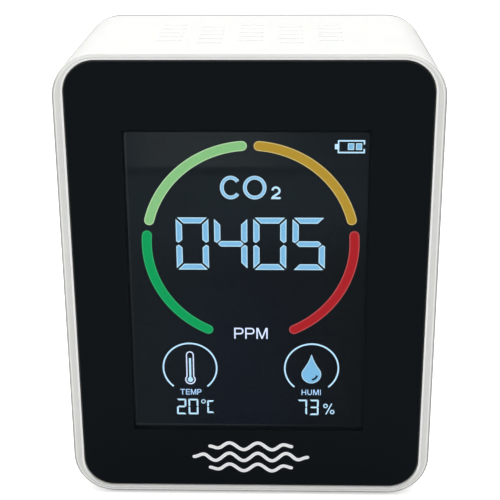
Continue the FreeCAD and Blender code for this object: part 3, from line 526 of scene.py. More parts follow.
def display_ground(name):
    """Unlit field of the display: near black, with the backlight's faint leak.

    It is paler towards the top and the left and along the left and bottom borders, and bluer low
    in the middle. A neutral band of painted reflection crosses the top left.
    """
    x0, x1, z0, z1 = WINDOW
    tree = Tree(name)
    x, y, z = tree.sep()
    across = tree.remap(x, over=(x0, x1))
    upward = tree.remap(z, over=(z0, z1))
    drift = tree.noise(scale=0.05, detail=3.0)
    fine = tree.noise(scale=1.6, rough=0.6)

    left = tree.calc("POWER", tree.sub(1.0, across, clamp=True), 1.4)
    top = tree.mul(tree.remap(upward, over=(0.50, 0.76), smooth=True),
                   tree.remap(across, over=(0.0, 0.32), to=(0.55, 1.0)))
    level = tree.add(GROUND_BASE, tree.mul(left, GROUND_LEFT))
    level = tree.add(level, tree.mul(top, GROUND_TOP))
    level = tree.mul(level, tree.remap(drift, over=(0.3, 0.7), to=(0.88, 1.12)))
    # the painted reflection band, and a darker dip just below it
    span = tree.mul(tree.remap(across, over=(-0.02, 0.14), to=(0.35, 1.0), smooth=True),
                    tree.remap(across, over=(0.48, 0.80), to=(1.0, 0.0), smooth=True))
    reflected_band = tree.mul(tree.remap(z, over=(REFLECTION_BAND_Z - 0.35, REFLECTION_BAND_Z + 0.35), smooth=True), span)
    dip = tree.mul(tree.near(z, REFLECTION_BAND_Z - 1.05, over=(0.25, 1.15)),
                   tree.remap(across, over=(0.3, 0.9), to=(0.31, 0.20)))
    level = tree.mul(level, tree.sub(1.0, dip))
    # leak along the window's left and bottom borders
    leak_left = tree.mul(tree.near(x, x0 - 0.02, over=(0.10, 0.26)),
                         tree.remap(upward, over=(0.0, 1.0), to=(0.35, 1.0), smooth=True))
    leak_low = tree.mul(tree.near(z, z0 - 0.50, over=(0.10, 0.26)),
                        tree.remap(across, over=(0.40, 0.85), to=(1.1, 0.35), smooth=True))
    leak = tree.most(leak_left, leak_low)
    # the painted reflection band and the backlight's leak, in a neutral tint
    white = tree.weighted((reflected_band, REFLECTION_BAND_BRIGHTNESS), (leak, LEAK_BRIGHTNESS))
    low_middle = tree.mul(tree.near(across, 0.5, over=(0.10, 0.42)),
                          tree.remap(upward, over=(0.35, 0.75), to=(1.0, 0.0)))
    colour = tree.mix(low_middle, (0.66, 1.0, 1.24), (0.66, 0.98, 1.75))
    colour = tree.mix(1.0, colour, tree.comb(level, level, level), blend="MULTIPLY")
    neutral = tree.mix(1.0, (1.0, 0.98, 0.94), tree.comb(white, white, white),
                       blend="MULTIPLY")
    colour = tree.mix(1.0, colour, neutral, blend="ADD")
    tree.set("Base Color", (0.0045, 0.0062, 0.0080))
    tree.set("Roughness", tree.remap(fine, over=(0.3, 0.7), to=(0.22, 0.34)))
    tree.set("Specular IOR Level", 0.04)
    tree.set("Emission Color", colour).set("Emission Strength", 1.0)
    tree.set("Normal", tree.bump(fine, strength=0.05, depth=0.004))
    return tree


def ink(name, colour=(0.0120, 0.0180, 0.0225)):
    """Matt printing ink."""
    tree = Tree(name)
    drift = tree.noise(scale=0.08, detail=3.0, rough=0.5)
    fine = tree.noise(scale=6.0, detail=5.0, rough=0.6)
    tree.set("Base Color", tree.mix(drift, colour, shade(colour, 1.3)))
    tree.set("Roughness", tree.remap(fine, over=(0.3, 0.7), to=(0.45, 0.6)))
    tree.set("Specular IOR Level", 0.04)
    tree.set("Normal", tree.bump(fine, strength=0.2, depth=0.006))
    return tree


def silver_ink(name):
    """Silver flake ink with a painted glow."""
    tree = Tree(name)
    drift = tree.noise(scale=0.7, rough=0.6)
    flake = tree.noise(scale=12.0, detail=3.0, rough=0.7)
    tree.set("Base Color", tree.mix(tree.remap(drift, over=(0.3, 0.7), to=(0.0, 0.35)),
                                    (0.80, 0.81, 0.82), (0.66, 0.67, 0.69)))
    tree.set("Metallic", 0.15)
    tree.set("Roughness", tree.remap(flake, over=(0.3, 0.7), to=(0.35, 0.55)))
    # painted glow: emission brightens the ink as if lit
    tree.set("Emission Color", (0.9, 0.92, 0.95)).set("Emission Strength", 0.30)
    tree.set("Normal", tree.bump(flake, strength=0.2, depth=0.006))
    return tree


def housing_plastic(name, opening=None):
    """White ABS with painted shade greying its outer arris, the top of its rear rim and its
    edge-on faces.

    With an opening, the chamfer round the lens is polished and carries a painted highlight, with
    painted shade where it faces up; a thin painted highlight runs along the front rim; the walls
    of the top slots carry a painted glow; and the plastic round the display window is blacked.
    """
    tree = moulded(name, colour=(0.835, 0.838, 0.812), rough=0.46, grain=4.5, depth=0.012,
                   var=0.025)
    x, y, z = tree.sep()
    colour = tree.source("Base Color")
    rough = tree.source("Roughness")
    distance = tree.rrect(x, z, *HOUSING_OUTLINE)
    # noise that mottles the painted shade
    shade_noise = tree.noise(scale=0.9, detail=5.0, rough=0.65)
    normal_z = tree.sep(tree.normal())[2]
    facing = tree.facing()
    upright = tree.size(normal_z)
    # the front rim, except where it faces up
    flank = tree.mul(tree.remap(y, over=(-21.46, -21.40), to=(1.0, 0.0)),
                     tree.remap(normal_z, over=(0.10, 0.45), to=(1.0, 0.0)))
    # painted shade: a dark line along the front rim's outer arris, darker where it is seen edge
    # on
    front = tree.most(tree.remap(distance, over=(-0.44, -0.28), to=(0.0, 0.85)),
                      tree.remap(facing, over=(0.22, 0.62), to=(0.0, 1.2)))
    front = tree.mul(front, flank)
    # painted shade: a grey line along the top of the rear rim, seen at a low angle
    rear = tree.mul(tree.remap(y, over=(19.90, 20.15)), tree.remap(normal_z, over=(0.60, 0.92)))
    rear = tree.mul(rear, tree.remap(facing, over=(0.72, 0.82), to=(0.0, 0.84)))
    # painted shade: darker where the surface is seen edge on
    limb = tree.mul(tree.remap(facing, over=(0.93, 0.995)),
                    tree.remap(upright, over=(0.2, 0.8), to=(1.0, 0.6)))
    # all the painted shade, mottled by noise, greys the colour
    painted_edge_shade = tree.mul(front, tree.remap(shade_noise, over=(0.3, 0.7), to=(0.75, 1.0)))
    painted_edge_shade = tree.most(tree.most(painted_edge_shade, rear), limb)
    colour = tree.mix(tree.mul(painted_edge_shade, 0.76), colour, (0.13, 0.13, 0.127))
    rough = tree.add(rough, tree.mul(painted_edge_shade, 0.1))
    if opening:
        # painted highlight: a thin bright line on the front rim, 0.56 mm inside the outline
        line = tree.remap(tree.size(tree.add(distance, 0.56)), over=(0.06, 0.13), to=(1.0, 0.0))
        gleam = tree.mul(line, flank)
        from_lens = tree.rrect(x, z, *opening)
        chamfer = tree.mul(tree.remap(from_lens, over=(0.30, 0.36), to=(1.0, 0.0)),
                           tree.remap(from_lens, over=(-0.02, 0.03)))
        chamfer = tree.mul(chamfer, tree.remap(y, over=(-21.68, -21.60), to=(1.0, 0.0)))
        # painted highlight on the chamfer where it faces sideways or down, painted shade where it
        # faces up
        lit = tree.mul(chamfer, tree.remap(normal_z, over=(0.15, 0.55), to=(1.0, 0.0)))
        chamfer_painted_shade = tree.mix(tree.mul(chamfer, 0.5), colour, (0.60, 0.60, 0.585))
        colour = tree.mix(lit, chamfer_painted_shade, (0.92, 0.92, 0.91))
        rough = tree.sub(rough, tree.mul(chamfer, 0.2), clamp=True)
        # painted glow on the upright walls of the slots, within the top 2 mm
        slot = tree.mul(tree.remap(z, over=(HOUSING_TOP - 2.1, HOUSING_TOP - 1.9)),
                        tree.remap(upright, over=(0.35, 0.55), to=(1.0, 0.0)))
        for axis, limits in ((x, (29.0, 29.5)), (y, (18.8, 19.0))):
            slot = tree.mul(slot, tree.remap(tree.size(axis), over=limits, to=(1.0, 0.0)))
        # the painted highlights and the slots' painted glow, given as emission
        shine = tree.most(tree.mul(lit, 0.24), tree.mul(gleam, 0.16))
        tree.set("Emission Color", (1.0, 1.0, 0.99))
        tree.set("Emission Strength", tree.add(shine, tree.mul(slot, 0.16)))
        # black up to 2 mm round the window
        from_window = tree.rrect(x, z, *rectangle(*WINDOW, WINDOW_RADIUS))
        seal = tree.mul(tree.remap(y, over=(-18.64, -18.60), to=(1.0, 0.0)),
                        tree.remap(from_window, over=(2.0, 2.2), to=(1.0, 0.0)))
        colour = tree.mix(seal, colour, (0.012, 0.013, 0.014))
    tree.set("Base Color", colour).set("Roughness", rough)
    tree.set("Subsurface Weight", tree.sub(0.6, tree.mul(painted_edge_shade, 0.6), clamp=True))
    tree.set("Subsurface Radius", (1.0, 0.95, 0.85)).set("Subsurface Scale", 0.0018)
    return tree


def frame_plastic(name):
    """White frame whose front rim is blacked, so that no light comes past the display."""
    black_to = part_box("display_frame")[0].y * 1000 + 2.3
    tree = moulded(name, colour=(0.74, 0.74, 0.71), rough=0.5, grain=5.0, depth=0.008, var=0.05)
    y = tree.sep()[1]
    colour = tree.source("Base Color")
    line = tree.add(y, tree.mul(tree.noise(scale=0.8, rough=0.6), 0.25))
    black = tree.remap(line, over=(black_to, black_to + 0.1), to=(1.0, 0.0))
    tree.set("Base Color", tree.mix(black, colour, (0.012, 0.013, 0.014)))
    return tree


MATERIALS = {
    "housing": housing_plastic("housing_plastic", opening=LENS_OPENING),
    "cover": housing_plastic("cover_plastic"),
    "button": moulded("button_plastic", colour=(0.74, 0.74, 0.73), rough=0.36, grain=6.0,
                      depth=0.006, var=0.03, edge=0.3),
    "lens": lens_acrylic("lens_acrylic"),
    "ink": ink("border_ink"),
    "tape": rubber("tape_foam", colour=(0.012, 0.012, 0.012), rough=0.8),
    "glass": film("display_glass_clear", colour=(0.55, 0.62, 0.60), rough=0.06, alpha=0.35),
    "ground": display_ground("display_ground"),
    "polariser": film("polariser_grey", colour=(0.03, 0.034, 0.045), rough=0.14),
    "colour_film": film("colour_filter", colour=(0.05, 0.07, 0.14), rough=0.2,
                        second=(0.10, 0.05, 0.04)),
    "diffuser": film("diffuser_frost", colour=(0.82, 0.84, 0.86), rough=0.55),
    "guide": film("light_guide_acrylic", colour=(0.80, 0.86, 0.88), rough=0.08, alpha=0.5),
    "reflector": film("reflector_silver", colour=(0.88, 0.89, 0.90), rough=0.12, metallic=1.0),
    "frame": frame_plastic("frame_plastic"),
    "phosphor": ceramic("lamp_phosphor", colours=((0.85, 0.70, 0.18), (0.88, 0.76, 0.26)),
                        rough=0.35),
    "flex": kapton("flex_film", visible=0.8),
    "strip": kapton("lamp_strip_film", visible=0.2),
    "board_main": board("board_main", plane="y", seed=3.0),
    "board_sensor": board("board_sensor", plane="y", seed=31.0),
    "board_battery": board("board_battery", plane="y", seed=57.0),
    "board_charger": board("board_charger", plane="z", seed=12.0),
    "controller": chip_with_leads("microcontroller_package", "microcontroller", plane="y"),
    "driver": chip_with_leads("driver_package", "display_driver_chip", plane="y"),
    "charger": chip_with_leads("charger_package", "charger_chip", plane="z"),
    "sensor_chip": chip("sensor_package", colour=(0.05, 0.05, 0.052)),
    "passive": ceramic("passive_ceramic", colours=((0.36, 0.25, 0.16), (0.035, 0.035, 0.04)),
                       rough=0.5),
    "ferrite": ceramic("ferrite", colours=((0.07, 0.07, 0.075), (0.055, 0.055, 0.06)),
                       rough=0.6),
    "tin": metal("tinned_steel", colour=(0.66, 0.66, 0.64), rough=0.26, drawn=True),
    "can": metal("stamped_can", colour=(0.70, 0.70, 0.68), rough=0.22),
    "gold": metal("gold_flash", colour=(0.86, 0.60, 0.22), rough=0.24, drawn=True,
                  tarnish=(0.62, 0.40, 0.13)),
    "nylon": moulded("nylon_natural", colour=(0.74, 0.70, 0.57), rough=0.5, grain=5.0,
                     depth=0.008, var=0.08),
    "nylon_black": moulded("nylon_black", colour=(0.018, 0.018, 0.020), rough=0.45, grain=6.0,
                           depth=0.008, var=0.2),
    "chamber": metal("chamber_gilt", colour=(0.80, 0.56, 0.20), rough=0.34, grain=5.0,
                     metallic=0.9, tarnish=(0.58, 0.38, 0.12)),
    "felt": felt("filter_felt", colour=(0.86, 0.86, 0.83)),
    "bulb": film("lamp_glass", colour=(0.75, 0.77, 0.74), rough=0.05, alpha=0.45),
    "foil": foil("battery_foil"),
    "foam": rubber("foam_grey", colour=(0.045, 0.045, 0.05), rough=0.9),
    "red": sleeve("sleeve_red", colour=(0.50, 0.012, 0.012)),
    "black": sleeve("sleeve_black", colour=(0.014, 0.014, 0.015)),
    "grey": sleeve("sleeve_grey", colour=(0.16, 0.17, 0.19)),
    "dome": metal("dome_steel", colour=(0.74, 0.74, 0.74), rough=0.2),
    "screw": metal("screw_zinc", colour=(0.50, 0.51, 0.53), rough=0.30, grain=5.0,
                   tarnish=(0.30, 0.30, 0.31)),
    "foot": rubber("foot_rubber", colour=(0.035, 0.035, 0.036), rough=0.75),
}

# part: key in MATERIALS
MATERIAL_OF = {
    "front_housing": "housing", "rear_cover": "cover", "power_button": "button",
    "front_lens": "lens", "lens_border_print": "ink", "lens_adhesive_tape": "tape",
    "display_front_polariser": "ground", "display_front_glass": "glass",
    "display_rear_glass": "glass", "display_rear_polariser": "polariser",
    "display_colour_film": "colour_film", "display_frame": "frame",
    "backlight_diffuser": "diffuser", "backlight_light_guide": "guide",
    "backlight_reflector": "reflector", "backlight_lamps": "phosphor",
    "backlight_lamp_strip": "strip", "display_flex_cable": "flex",
    "display_flex_connector": "nylon", "main_board": "board_main",
    "microcontroller": "controller", "display_driver_chip": "driver", "clock_crystal": "can",
    "main_board_passives": "passive", "temperature_humidity_sensor": "sensor_chip",
    "co2_sensor_board": "board_sensor", "co2_sensor_header": "nylon_black",
    "co2_sensor_pins": "gold", "co2_sensor_chamber": "chamber",
    "co2_sensor_dust_filters": "felt", "co2_sensor_lamp": "bulb",
    "co2_sensor_detector": "can", "battery_cell": "foil",
    "battery_protection_board": "board_battery", "battery_foam_pad": "foam",
    "battery_lead_positive": "red", "battery_lead_negative": "black",
    "battery_socket": "nylon", "battery_plug": "nylon", "charger_board": "board_charger",
    "charger_chip": "charger", "charger_inductor": "ferrite",
    "charger_board_passives": "passive", "charging_port_shell": "tin",
    "charging_port_tongue": "nylon_black", "charging_port_contacts": "gold",
    "switch_base": "nylon_black", "switch_cover_plate": "can", "switch_snap_dome": "dome",
    "switch_plunger": "nylon_black", "harness_lower_socket": "nylon",
    "harness_lower_plug": "nylon", "harness_upper_socket": "nylon",
    "harness_upper_plug": "nylon", "harness_wires": "grey", "rear_cover_screws": "screw",
    "main_board_screws": "screw", "charger_board_screws": "screw", "rubber_feet": "foot",
}
for part, part_object in PARTS.items():
    part_object.data.materials.clear()
    part_object.data.materials.append(MATERIALS[MATERIAL_OF[part]].material)


# ------------------------------------------------------------------ flat artwork
def signed_area(loop):
    """Twice the area of a loop, positive when it runs counter-clockwise."""
    following = loop[1:] + loop[:1]
    return sum(x0 * z1 - x1 * z0 for (x0, z0), (x1, z1) in zip(loop, following))


def arc_points(mid_x, mid_z, radius_x, radius_z, start, sweep, steps):
    """Points along an elliptical arc, angles in degrees."""
    angles = [math.radians(start + sweep * i / steps) for i in range(steps + 1)]
    return [(mid_x + radius_x * math.cos(a), mid_z + radius_z * math.sin(a)) for a in angles]


def left_of(direction):
    return Vector((-direction.y, direction.x))


def mitre(before, after, limit):
    """Unit normal halfway between two directions, and its share of the first one's normal."""
    normal = left_of(before)
    halfway = normal + left_of(after)
    if halfway.length < 1e-6:
        halfway = normal
    halfway.normalize()
    return halfway, max(limit, halfway.dot(normal))


def unmoved(x, y, z):
    return x * MM, y * MM, z * MM


class Flat:
    """A flat figure in X and Z, in millimetres, raised into a thin closed solid.

    Each vertex carries 1.0 on the figure's border and 0.0 inside it.
    """

    def __init__(self):
        self.points = []
        self.edges = []
        self.faces = []

    def vert(self, x, z, edge):
        self.points.append((x, z))
        self.edges.append(edge)
        return len(self.points) - 1

    def face(self, corners):
        turns_left = signed_area([self.points[i] for i in corners]) > 0
        self.faces.append(list(corners) if turns_left else list(reversed(corners)))

    def poly(self, loop, inset):
        """Simple polygon with an inset loop that carries the border shading."""
        if signed_area(loop) < 0:
            loop = list(reversed(loop))
        count = len(loop)
        outer = [self.vert(x, z, 1.0) for x, z in loop]
        inner = []
        for i in range(count):
            before, here, after = [Vector(loop[j % count]) for j in (i - 1, i, i + 1)]
            normal, share = mitre((here - before).normalized(), (after - here).normalized(), 0.35)
            point = here + normal * (inset / share)
            inner.append(self.vert(point.x, point.y, 0.0))
        for i in range(count):
            j = (i + 1) % count
            self.face([outer[i], outer[j], inner[j], inner[i]])
        self.face(inner)

    def strip(self, line, width, rounded=False, closed=False, inset=None):
        """Stroke along a line; open ends are cut square or rounded."""
        if inset is None:
            inset = width * 0.28
        count = len(line)
        points = [Vector(point) for point in line]
        # (offset to the left of travel, border value)
        stations = ((-width / 2, 1.0), (-width / 2 + inset, 0.0),
                    (width / 2 - inset, 0.0), (width / 2, 1.0))
        rows = []
        for i, point in enumerate(points):
            before = after = None
            if closed or i > 0:
                before = (point - points[i - 1]).normalized()
            if closed or i < count - 1:
                after = (points[(i + 1) % count] - point).normalized()
            normal, share = mitre(before or after, after or before, 0.4)
            stretch = 1.0 / share
            rows.append([self.vert(point.x + normal.x * offset * stretch,
                                   point.y + normal.y * offset * stretch, edge)
                         for offset, edge in stations])
        for i in range(count if closed else count - 1):
            row = rows[i]
            following = rows[(i + 1) % count]
            for j in range(3):
                self.face([row[j], following[j], following[j + 1], row[j + 1]])
        if rounded:
            self.cap(points[0], -(points[1] - points[0]).normalized(), rows[0][::-1],
                     width / 2, inset)
            self.cap(points[-1], (points[-1] - points[-2]).normalized(), rows[-1],
                     width / 2, inset)

    def cap(self, centre, outward, row, radius, inset):
        """Half-round end on a stroke's last row, which runs from its right to its left."""
        steps = 8
        sideways = left_of(outward)
        outer = [row[0]]
        inner = [row[1]]
        for i in range(1, steps):
            angle = -math.pi / 2 + math.pi * i / steps
            ray = outward * math.cos(angle) + sideways * math.sin(angle)
            for ends, reach, edge in ((outer, radius, 1.0), (inner, radius - inset, 0.0)):
                ends.append(self.vert(centre.x + ray.x * reach, centre.y + ray.y * reach, edge))
        outer.append(row[3])
        inner.append(row[2])
        for i in range(steps):
            self.face([outer[i], outer[i + 1], inner[i + 1], inner[i]])
        self.face(inner)

    def arc(self, mid_x, mid_z, radius_x, radius_z, start, end, width, steps,
            rounded=False, inset=None):
        line = arc_points(mid_x, mid_z, radius_x, radius_z, start, end - start, steps)
        self.strip(line, width, rounded=rounded, inset=inset)

    def ring(self, mid_x, mid_z, radius_x, radius_z, width, steps, inset=None):
        angles = [2 * math.pi * i / steps for i in range(steps)]
        line = [(mid_x + radius_x * math.cos(a), mid_z + radius_z * math.sin(a)) for a in angles]
        self.strip(line, width, closed=True, inset=inset)

    def solid(self, name, front, thick, tree, slot, place=unmoved):
        """Raise the figure: it faces -Y at y = front, and its back lies `thick` behind."""
        mesh = bmesh.new()
        layer = mesh.verts.layers.float.new("edge")
        face_verts = [mesh.verts.new(place(x, front, z)) for x, z in self.points]
        back_verts = [mesh.verts.new(place(x, front + thick, z)) for x, z in self.points]
        for vert, behind, edge in zip(face_verts, back_verts, self.edges):
            vert[layer] = edge
            behind[layer] = edge
        sides = {}
        for corners in self.faces:
            for i, corner in enumerate(corners):
                sides[corner, corners[(i + 1) % len(corners)]] = True
        for corners in self.faces:
            mesh.faces.new([face_verts[i] for i in corners])
            mesh.faces.new([back_verts[i] for i in reversed(corners)])
        # walls stand on the sides that only one face has
        for a, b in sides:
            if (b, a) not in sides:
                mesh.faces.new([face_verts[b], face_verts[a], back_verts[a], back_verts[b]])
        mesh.normal_update()
        data = bpy.data.meshes.new(name)
        mesh.to_mesh(data)
        mesh.free()
        data.materials.append(tree.material)
        solid = bpy.data.objects.new(name, data)
        bpy.context.scene.collection.objects.link(solid)
        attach(solid, "body")


# segments lit for each character: a top, b c right, d bottom, e f left, g middle
LIT_SEGMENTS = {"0": "abcdef", "2": "abged", "3": "abgcd", "4": "fgbc", "5": "afgcd",
                "7": "abc", "C": "afed"}


def segments(art, x0, x1, z0, z1, char, stroke, gap, inset):
    """Seven-segment character with mitred ends, filling the cell."""
    nib = stroke * 0.42
    slit = gap * 0.75
    bevel = stroke * 0.48
    middle = (z0 + z1) / 2
    left, right = x0 + gap, x1 - gap
    low, high = z0 + gap, z1 - gap
    bar_left, bar_right = x0 + nib + slit, x1 - nib - slit
    above, below = middle + slit, middle - slit
    above_outer, below_outer = above + nib * 0.6, below - nib * 0.6
    above_inner, below_inner = middle + stroke * 0.5 + slit, middle - stroke * 0.5 - slit
    shapes = {
        "a": [(left, z1), (right, z1), (right - stroke, z1 - stroke),
              (left + stroke, z1 - stroke)],
        "d": [(left, z0), (left + stroke, z0 + stroke), (right - stroke, z0 + stroke),
              (right, z0)],
        "f": [(x0, high), (x0 + stroke, high - stroke), (x0 + stroke, above_inner),
              (x0 + nib, above), (x0, above_outer)],
        "b": [(x1, high), (x1, above_outer), (x1 - nib, above), (x1 - stroke, above_inner),
              (x1 - stroke, high - stroke)],
        "e": [(x0, low), (x0, below_outer), (x0 + nib, below), (x0 + stroke, below_inner),
              (x0 + stroke, low + stroke)],
        "c": [(x1, low), (x1 - stroke, low + stroke), (x1 - stroke, below_inner),
              (x1 - nib, below), (x1, below_outer)],
        "g": [(bar_left, middle), (bar_left + bevel, middle + bevel),
              (bar_right - bevel, middle + bevel), (bar_right, middle),
              (bar_right - bevel, middle - bevel), (bar_left + bevel, middle - bevel)],
    }
    for key in LIT_SEGMENTS[char]:
        art.poly(shapes[key], inset)


def letter(art, char, x, z, wide, high, pen):
    """Plain sans character from its lower left corner; each is one outline or one stroke."""
    def outline(points):
        art.poly([(x + a, z + b) for a, b in points], pen * 0.27)

    bar_low, bar_high = high / 2 - pen / 2, high / 2 + pen / 2
    under = high - pen
    if char == "I":
        outline([(0, 0), (pen, 0), (pen, high), (0, high)])
    elif char == "T":
        left, right = wide / 2 - pen / 2, wide / 2 + pen / 2
        outline([(left, 0), (right, 0), (right, under), (wide, under), (wide, high), (0, high),
                 (0, under), (left, under)])
    elif char == "E":
        outline([(0, 0), (wide, 0), (wide, pen), (pen, pen), (pen, bar_low),
                 (wide * 0.93, bar_low), (wide * 0.93, bar_high), (pen, bar_high),
                 (pen, under), (wide, under), (wide, high), (0, high)])
    elif char == "H":
        outline([(0, 0), (pen, 0), (pen, bar_low), (wide - pen, bar_low), (wide - pen, 0),
                 (wide, 0), (wide, high), (wide - pen, high), (wide - pen, bar_high),
                 (pen, bar_high), (pen, high), (0, high)])
    elif char == "M":
        notch = high - pen * 1.7
        outline([(0, 0), (pen, 0), (pen, notch), (wide / 2 - pen * 0.42, 0),
                 (wide / 2 + pen * 0.42, 0), (wide - pen, notch), (wide - pen, 0), (wide, 0),
                 (wide, high), (wide - pen * 1.45, high), (wide / 2, pen * 1.55),
                 (pen * 1.45, high), (0, high)])
    elif char == "P":
        top, bottom = high - pen / 2, high * 0.46
        radius = (top - bottom) / 2
        bend = x + wide - pen / 2 - radius
        line = [(x + pen / 2, z), (x + pen / 2, z + top), (bend, z + top)]
        line += arc_points(bend, z + top - radius, radius, radius, 90, -180, 12)[1:-1]
        art.strip(line + [(bend, z + bottom), (x + pen + 0.001, z + bottom)], pen)
    elif char == "U":
        radius = wide / 2 - pen / 2
        bend = z + radius + pen / 2
        line = [(x + pen / 2, z + high), (x + pen / 2, bend)]
        line += arc_points(x + wide / 2, bend, radius, radius, 180, 180, 12)[1:-1]
        art.strip(line + [(x + wide - pen / 2, bend), (x + wide - pen / 2, z + high)], pen)
    elif char == "C":
        art.strip(arc_points(x + wide * 0.515, z + high / 2, wide * 0.515 - pen / 2,
                             high / 2 - pen / 2, 38, 284, 48), pen)
    elif char == "O":
        art.ring(x + wide / 2, z + high / 2, wide / 2 - pen / 2, high / 2 - pen / 2, pen,
                 steps=48)
    elif char == "2":
        radius = wide / 2 - pen / 2
        line = arc_points(x + wide / 2, z + high - radius - pen / 2, radius, radius,
                          172, -212, 14)
        line += [(x + pen * 0.95, z + pen * 1.15), (x + pen * 0.62, z + pen * 0.5),
                 (x + wide, z + pen * 0.5)]
        art.strip(line, pen)


# ------------------------------------------------------------------ lit display
GLASS_LOW, GLASS_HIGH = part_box("display_front_polariser")
ART_FRONT = GLASS_LOW.y * 1000 - 0.03
ART_THICK = 0.03
MID_X = (GLASS_LOW.x + GLASS_HIGH.x) * 500
MID_Z = (GLASS_LOW.z + GLASS_HIGH.z) * 500
LAYOUT_MID_Z = 47.0  # layout height of the middle of the glass


def on_glass(x, z):
    """Place from the layout, whose x is 0 at the middle of the glass."""
    return MID_X + x, MID_Z - LAYOUT_MID_Z + z


# colour name, colour and border colour in sRGB, strength
GLOW = {key: glow("segment_" + key, srgb(*colour), srgb(*border), strength)
        for key, colour, border, strength in (
            ("blue", (124, 187, 229), (190, 228, 248), 1.45),
            ("light_blue", (136, 195, 234), (200, 231, 250), 1.45),
            ("pale", (168, 213, 244), (204, 233, 252), 1.75),
            ("lavender", (204, 218, 250), (214, 228, 254), 1.75),
            ("small", (158, 192, 232), (168, 204, 240), 1.9),
            ("thin", (166, 208, 240), (192, 226, 248), 1.85),
            ("light_green", (136, 196, 131), (184, 222, 172), 1.42),
            ("green", (8, 158, 88), (52, 174, 110), 1.42),
            ("orange", (180, 146, 48), (208, 188, 120), 1.42),
            ("red", (171, 31, 38), (190, 82, 84), 1.42))}


def show(art, name, key):
    """Put finished artwork on the display, in one of the GLOW colours."""
    art.solid("display_" + name, ART_FRONT, ART_THICK, GLOW[key], slot="colour_film")


def draw_characters(art, cells, stroke, gap, inset):
    """Seven-segment characters; each cell is x0, x1, z0, z1, character."""
    for x0, x1, z0, z1, char in cells:
        left, bottom = on_glass(x0, z0)
        right, top = on_glass(x1, z1)
        segments(art, left, right, bottom, top, char, stroke, gap, inset)


def draw_air_ring():
    """Four coloured arcs round the main figures."""
    mid_x, mid_z = on_glass(0.09, 55.12)
    # colour, start and end angle in degrees
    for key, start, end in (("light_green", 94.4, 165.7), ("green", 174.6, 245.2),
                            ("orange", 14.7, 85.3), ("red", -64.8, 5.4)):
        art = Flat()
        art.arc(mid_x, mid_z, radius_x=20.87, radius_z=20.55, start=start, end=end, width=2.0,
                steps=48, rounded=True, inset=0.30)
        show(art, "ring_" + key, key)


def draw_main_digits():
    low, high, stroke = 49.7, 60.85, 1.24
    art = Flat()
    cells = [(x0, x1, low, high, char) for x0, x1, char in (
        (-14.84, -8.30, "0"), (-7.17, -0.53, "4"), (0.67, 7.29, "0"), (8.52, 15.06, "5"))]
    draw_characters(art, cells, stroke=stroke, gap=0.29, inset=stroke * 0.24)
    show(art, "main_digits", "blue")


def draw_co2_legend():
    art = Flat()
    for char, x, wide in (("C", -5.88, 4.12), ("O", -1.33, 4.64)):
        letter(art, char, *on_glass(x, 64.68), wide=wide, high=4.84, pen=0.74)
    show(art, "co2_legend", "light_blue")
    art = Flat()
    letter(art, "2", *on_glass(4.27, 64.75), wide=1.82, high=2.60, pen=0.40)
    show(art, "co2_subscript", "pale")


def draw_ppm_legend():
    art = Flat()
    x, z = on_glass(-3.36, 34.38)
    for char, shift, wide in (("P", 0.0, 1.93), ("P", 2.27, 1.93), ("M", 4.58, 2.32)):
        letter(art, char, x + shift, z, wide=wide, high=2.46, pen=0.29)
    show(art, "ppm_legend", "lavender")


def draw_battery():
    """Battery symbol: outline open at its right end, cap on the left, two bars lit."""
    x0, z0 = on_glass(17.2, 74.18)
    x1, z1 = on_glass(22.48, 76.80)
    pen, lip, cap_long, cap_inset = 0.27, 0.86, 0.56, 0.80
    left, right = x0 + pen / 2, x1 - pen / 2
    low, high = z0 + pen / 2, z1 - pen / 2
    art = Flat()
    art.strip([(right, z0 + lip), (right, low), (left, low), (left, high), (right, high),
               (right, z1 - lip)], pen)
    cap_left, cap_right = x0 - cap_long, x0 - 0.002
    art.poly([(cap_left, z0 + cap_inset), (cap_right, z0 + cap_inset),
              (cap_right, z1 - cap_inset), (cap_left, z1 - cap_inset)], inset=0.14)
    show(art, "battery_outline", "pale")
    art = Flat()
    for bar_left, bar_right in ((19.16, 20.38), (20.73, 21.92)):
        x0, z0 = on_glass(bar_left, 74.84)
        x1, z1 = on_glass(bar_right, 76.18)
        art.poly([(x0, z0), (x1, z0), (x1, z1), (x0, z1)], inset=0.26)
    show(art, "battery_bars", "blue")


def draw_dials():
    """Two thin circles, open at the bottom."""
    radius = 5.58
    start = math.degrees(math.atan2(-4.25, 3.5))
    for name, mid_x in (("temperature", -12.68), ("humidity", 12.70)):
        art = Flat()
        art.arc(*on_glass(mid_x, 27.66), radius, radius, start, 180 - start, width=0.31,
                steps=64, inset=0.09)
        show(art, name + "_dial", "thin")


def bulb_arc(mid_x, mid_z, radius, start, steps):
    """Arc that runs clockwise under a round body, open evenly at the top."""
    return arc_points(mid_x, mid_z, radius, radius, start, -(180 + 2 * start), steps)


def draw_thermometer():
    """Tube outline that widens into the bulb, and the column inside."""
    mid_x, bulb_z = on_glass(-12.66, 24.92)
    top = on_glass(0, 31.42)[1]
    column_top = on_glass(0, 29.87)[1]
    bulb, tube, pen = 0.98, 0.70, 0.23
    art = Flat()
    line = bulb_arc(mid_x, bulb_z, bulb, math.degrees(math.acos(tube / bulb)), steps=28)
    line += arc_points(mid_x, top - pen / 2 - tube, tube, tube, 180, -180, 14)
    art.strip(line, pen, closed=True, inset=0.07)
    show(art, "thermometer_outline", "lavender")
    bulb, column = 0.56, 0.21
    art = Flat()
    line = bulb_arc(mid_x, bulb_z, bulb, math.degrees(math.acos(column / bulb)), steps=24)
    art.poly(line + [(mid_x - column, column_top), (mid_x + column, column_top)], inset=0.07)
    show(art, "thermometer_column", "pale")


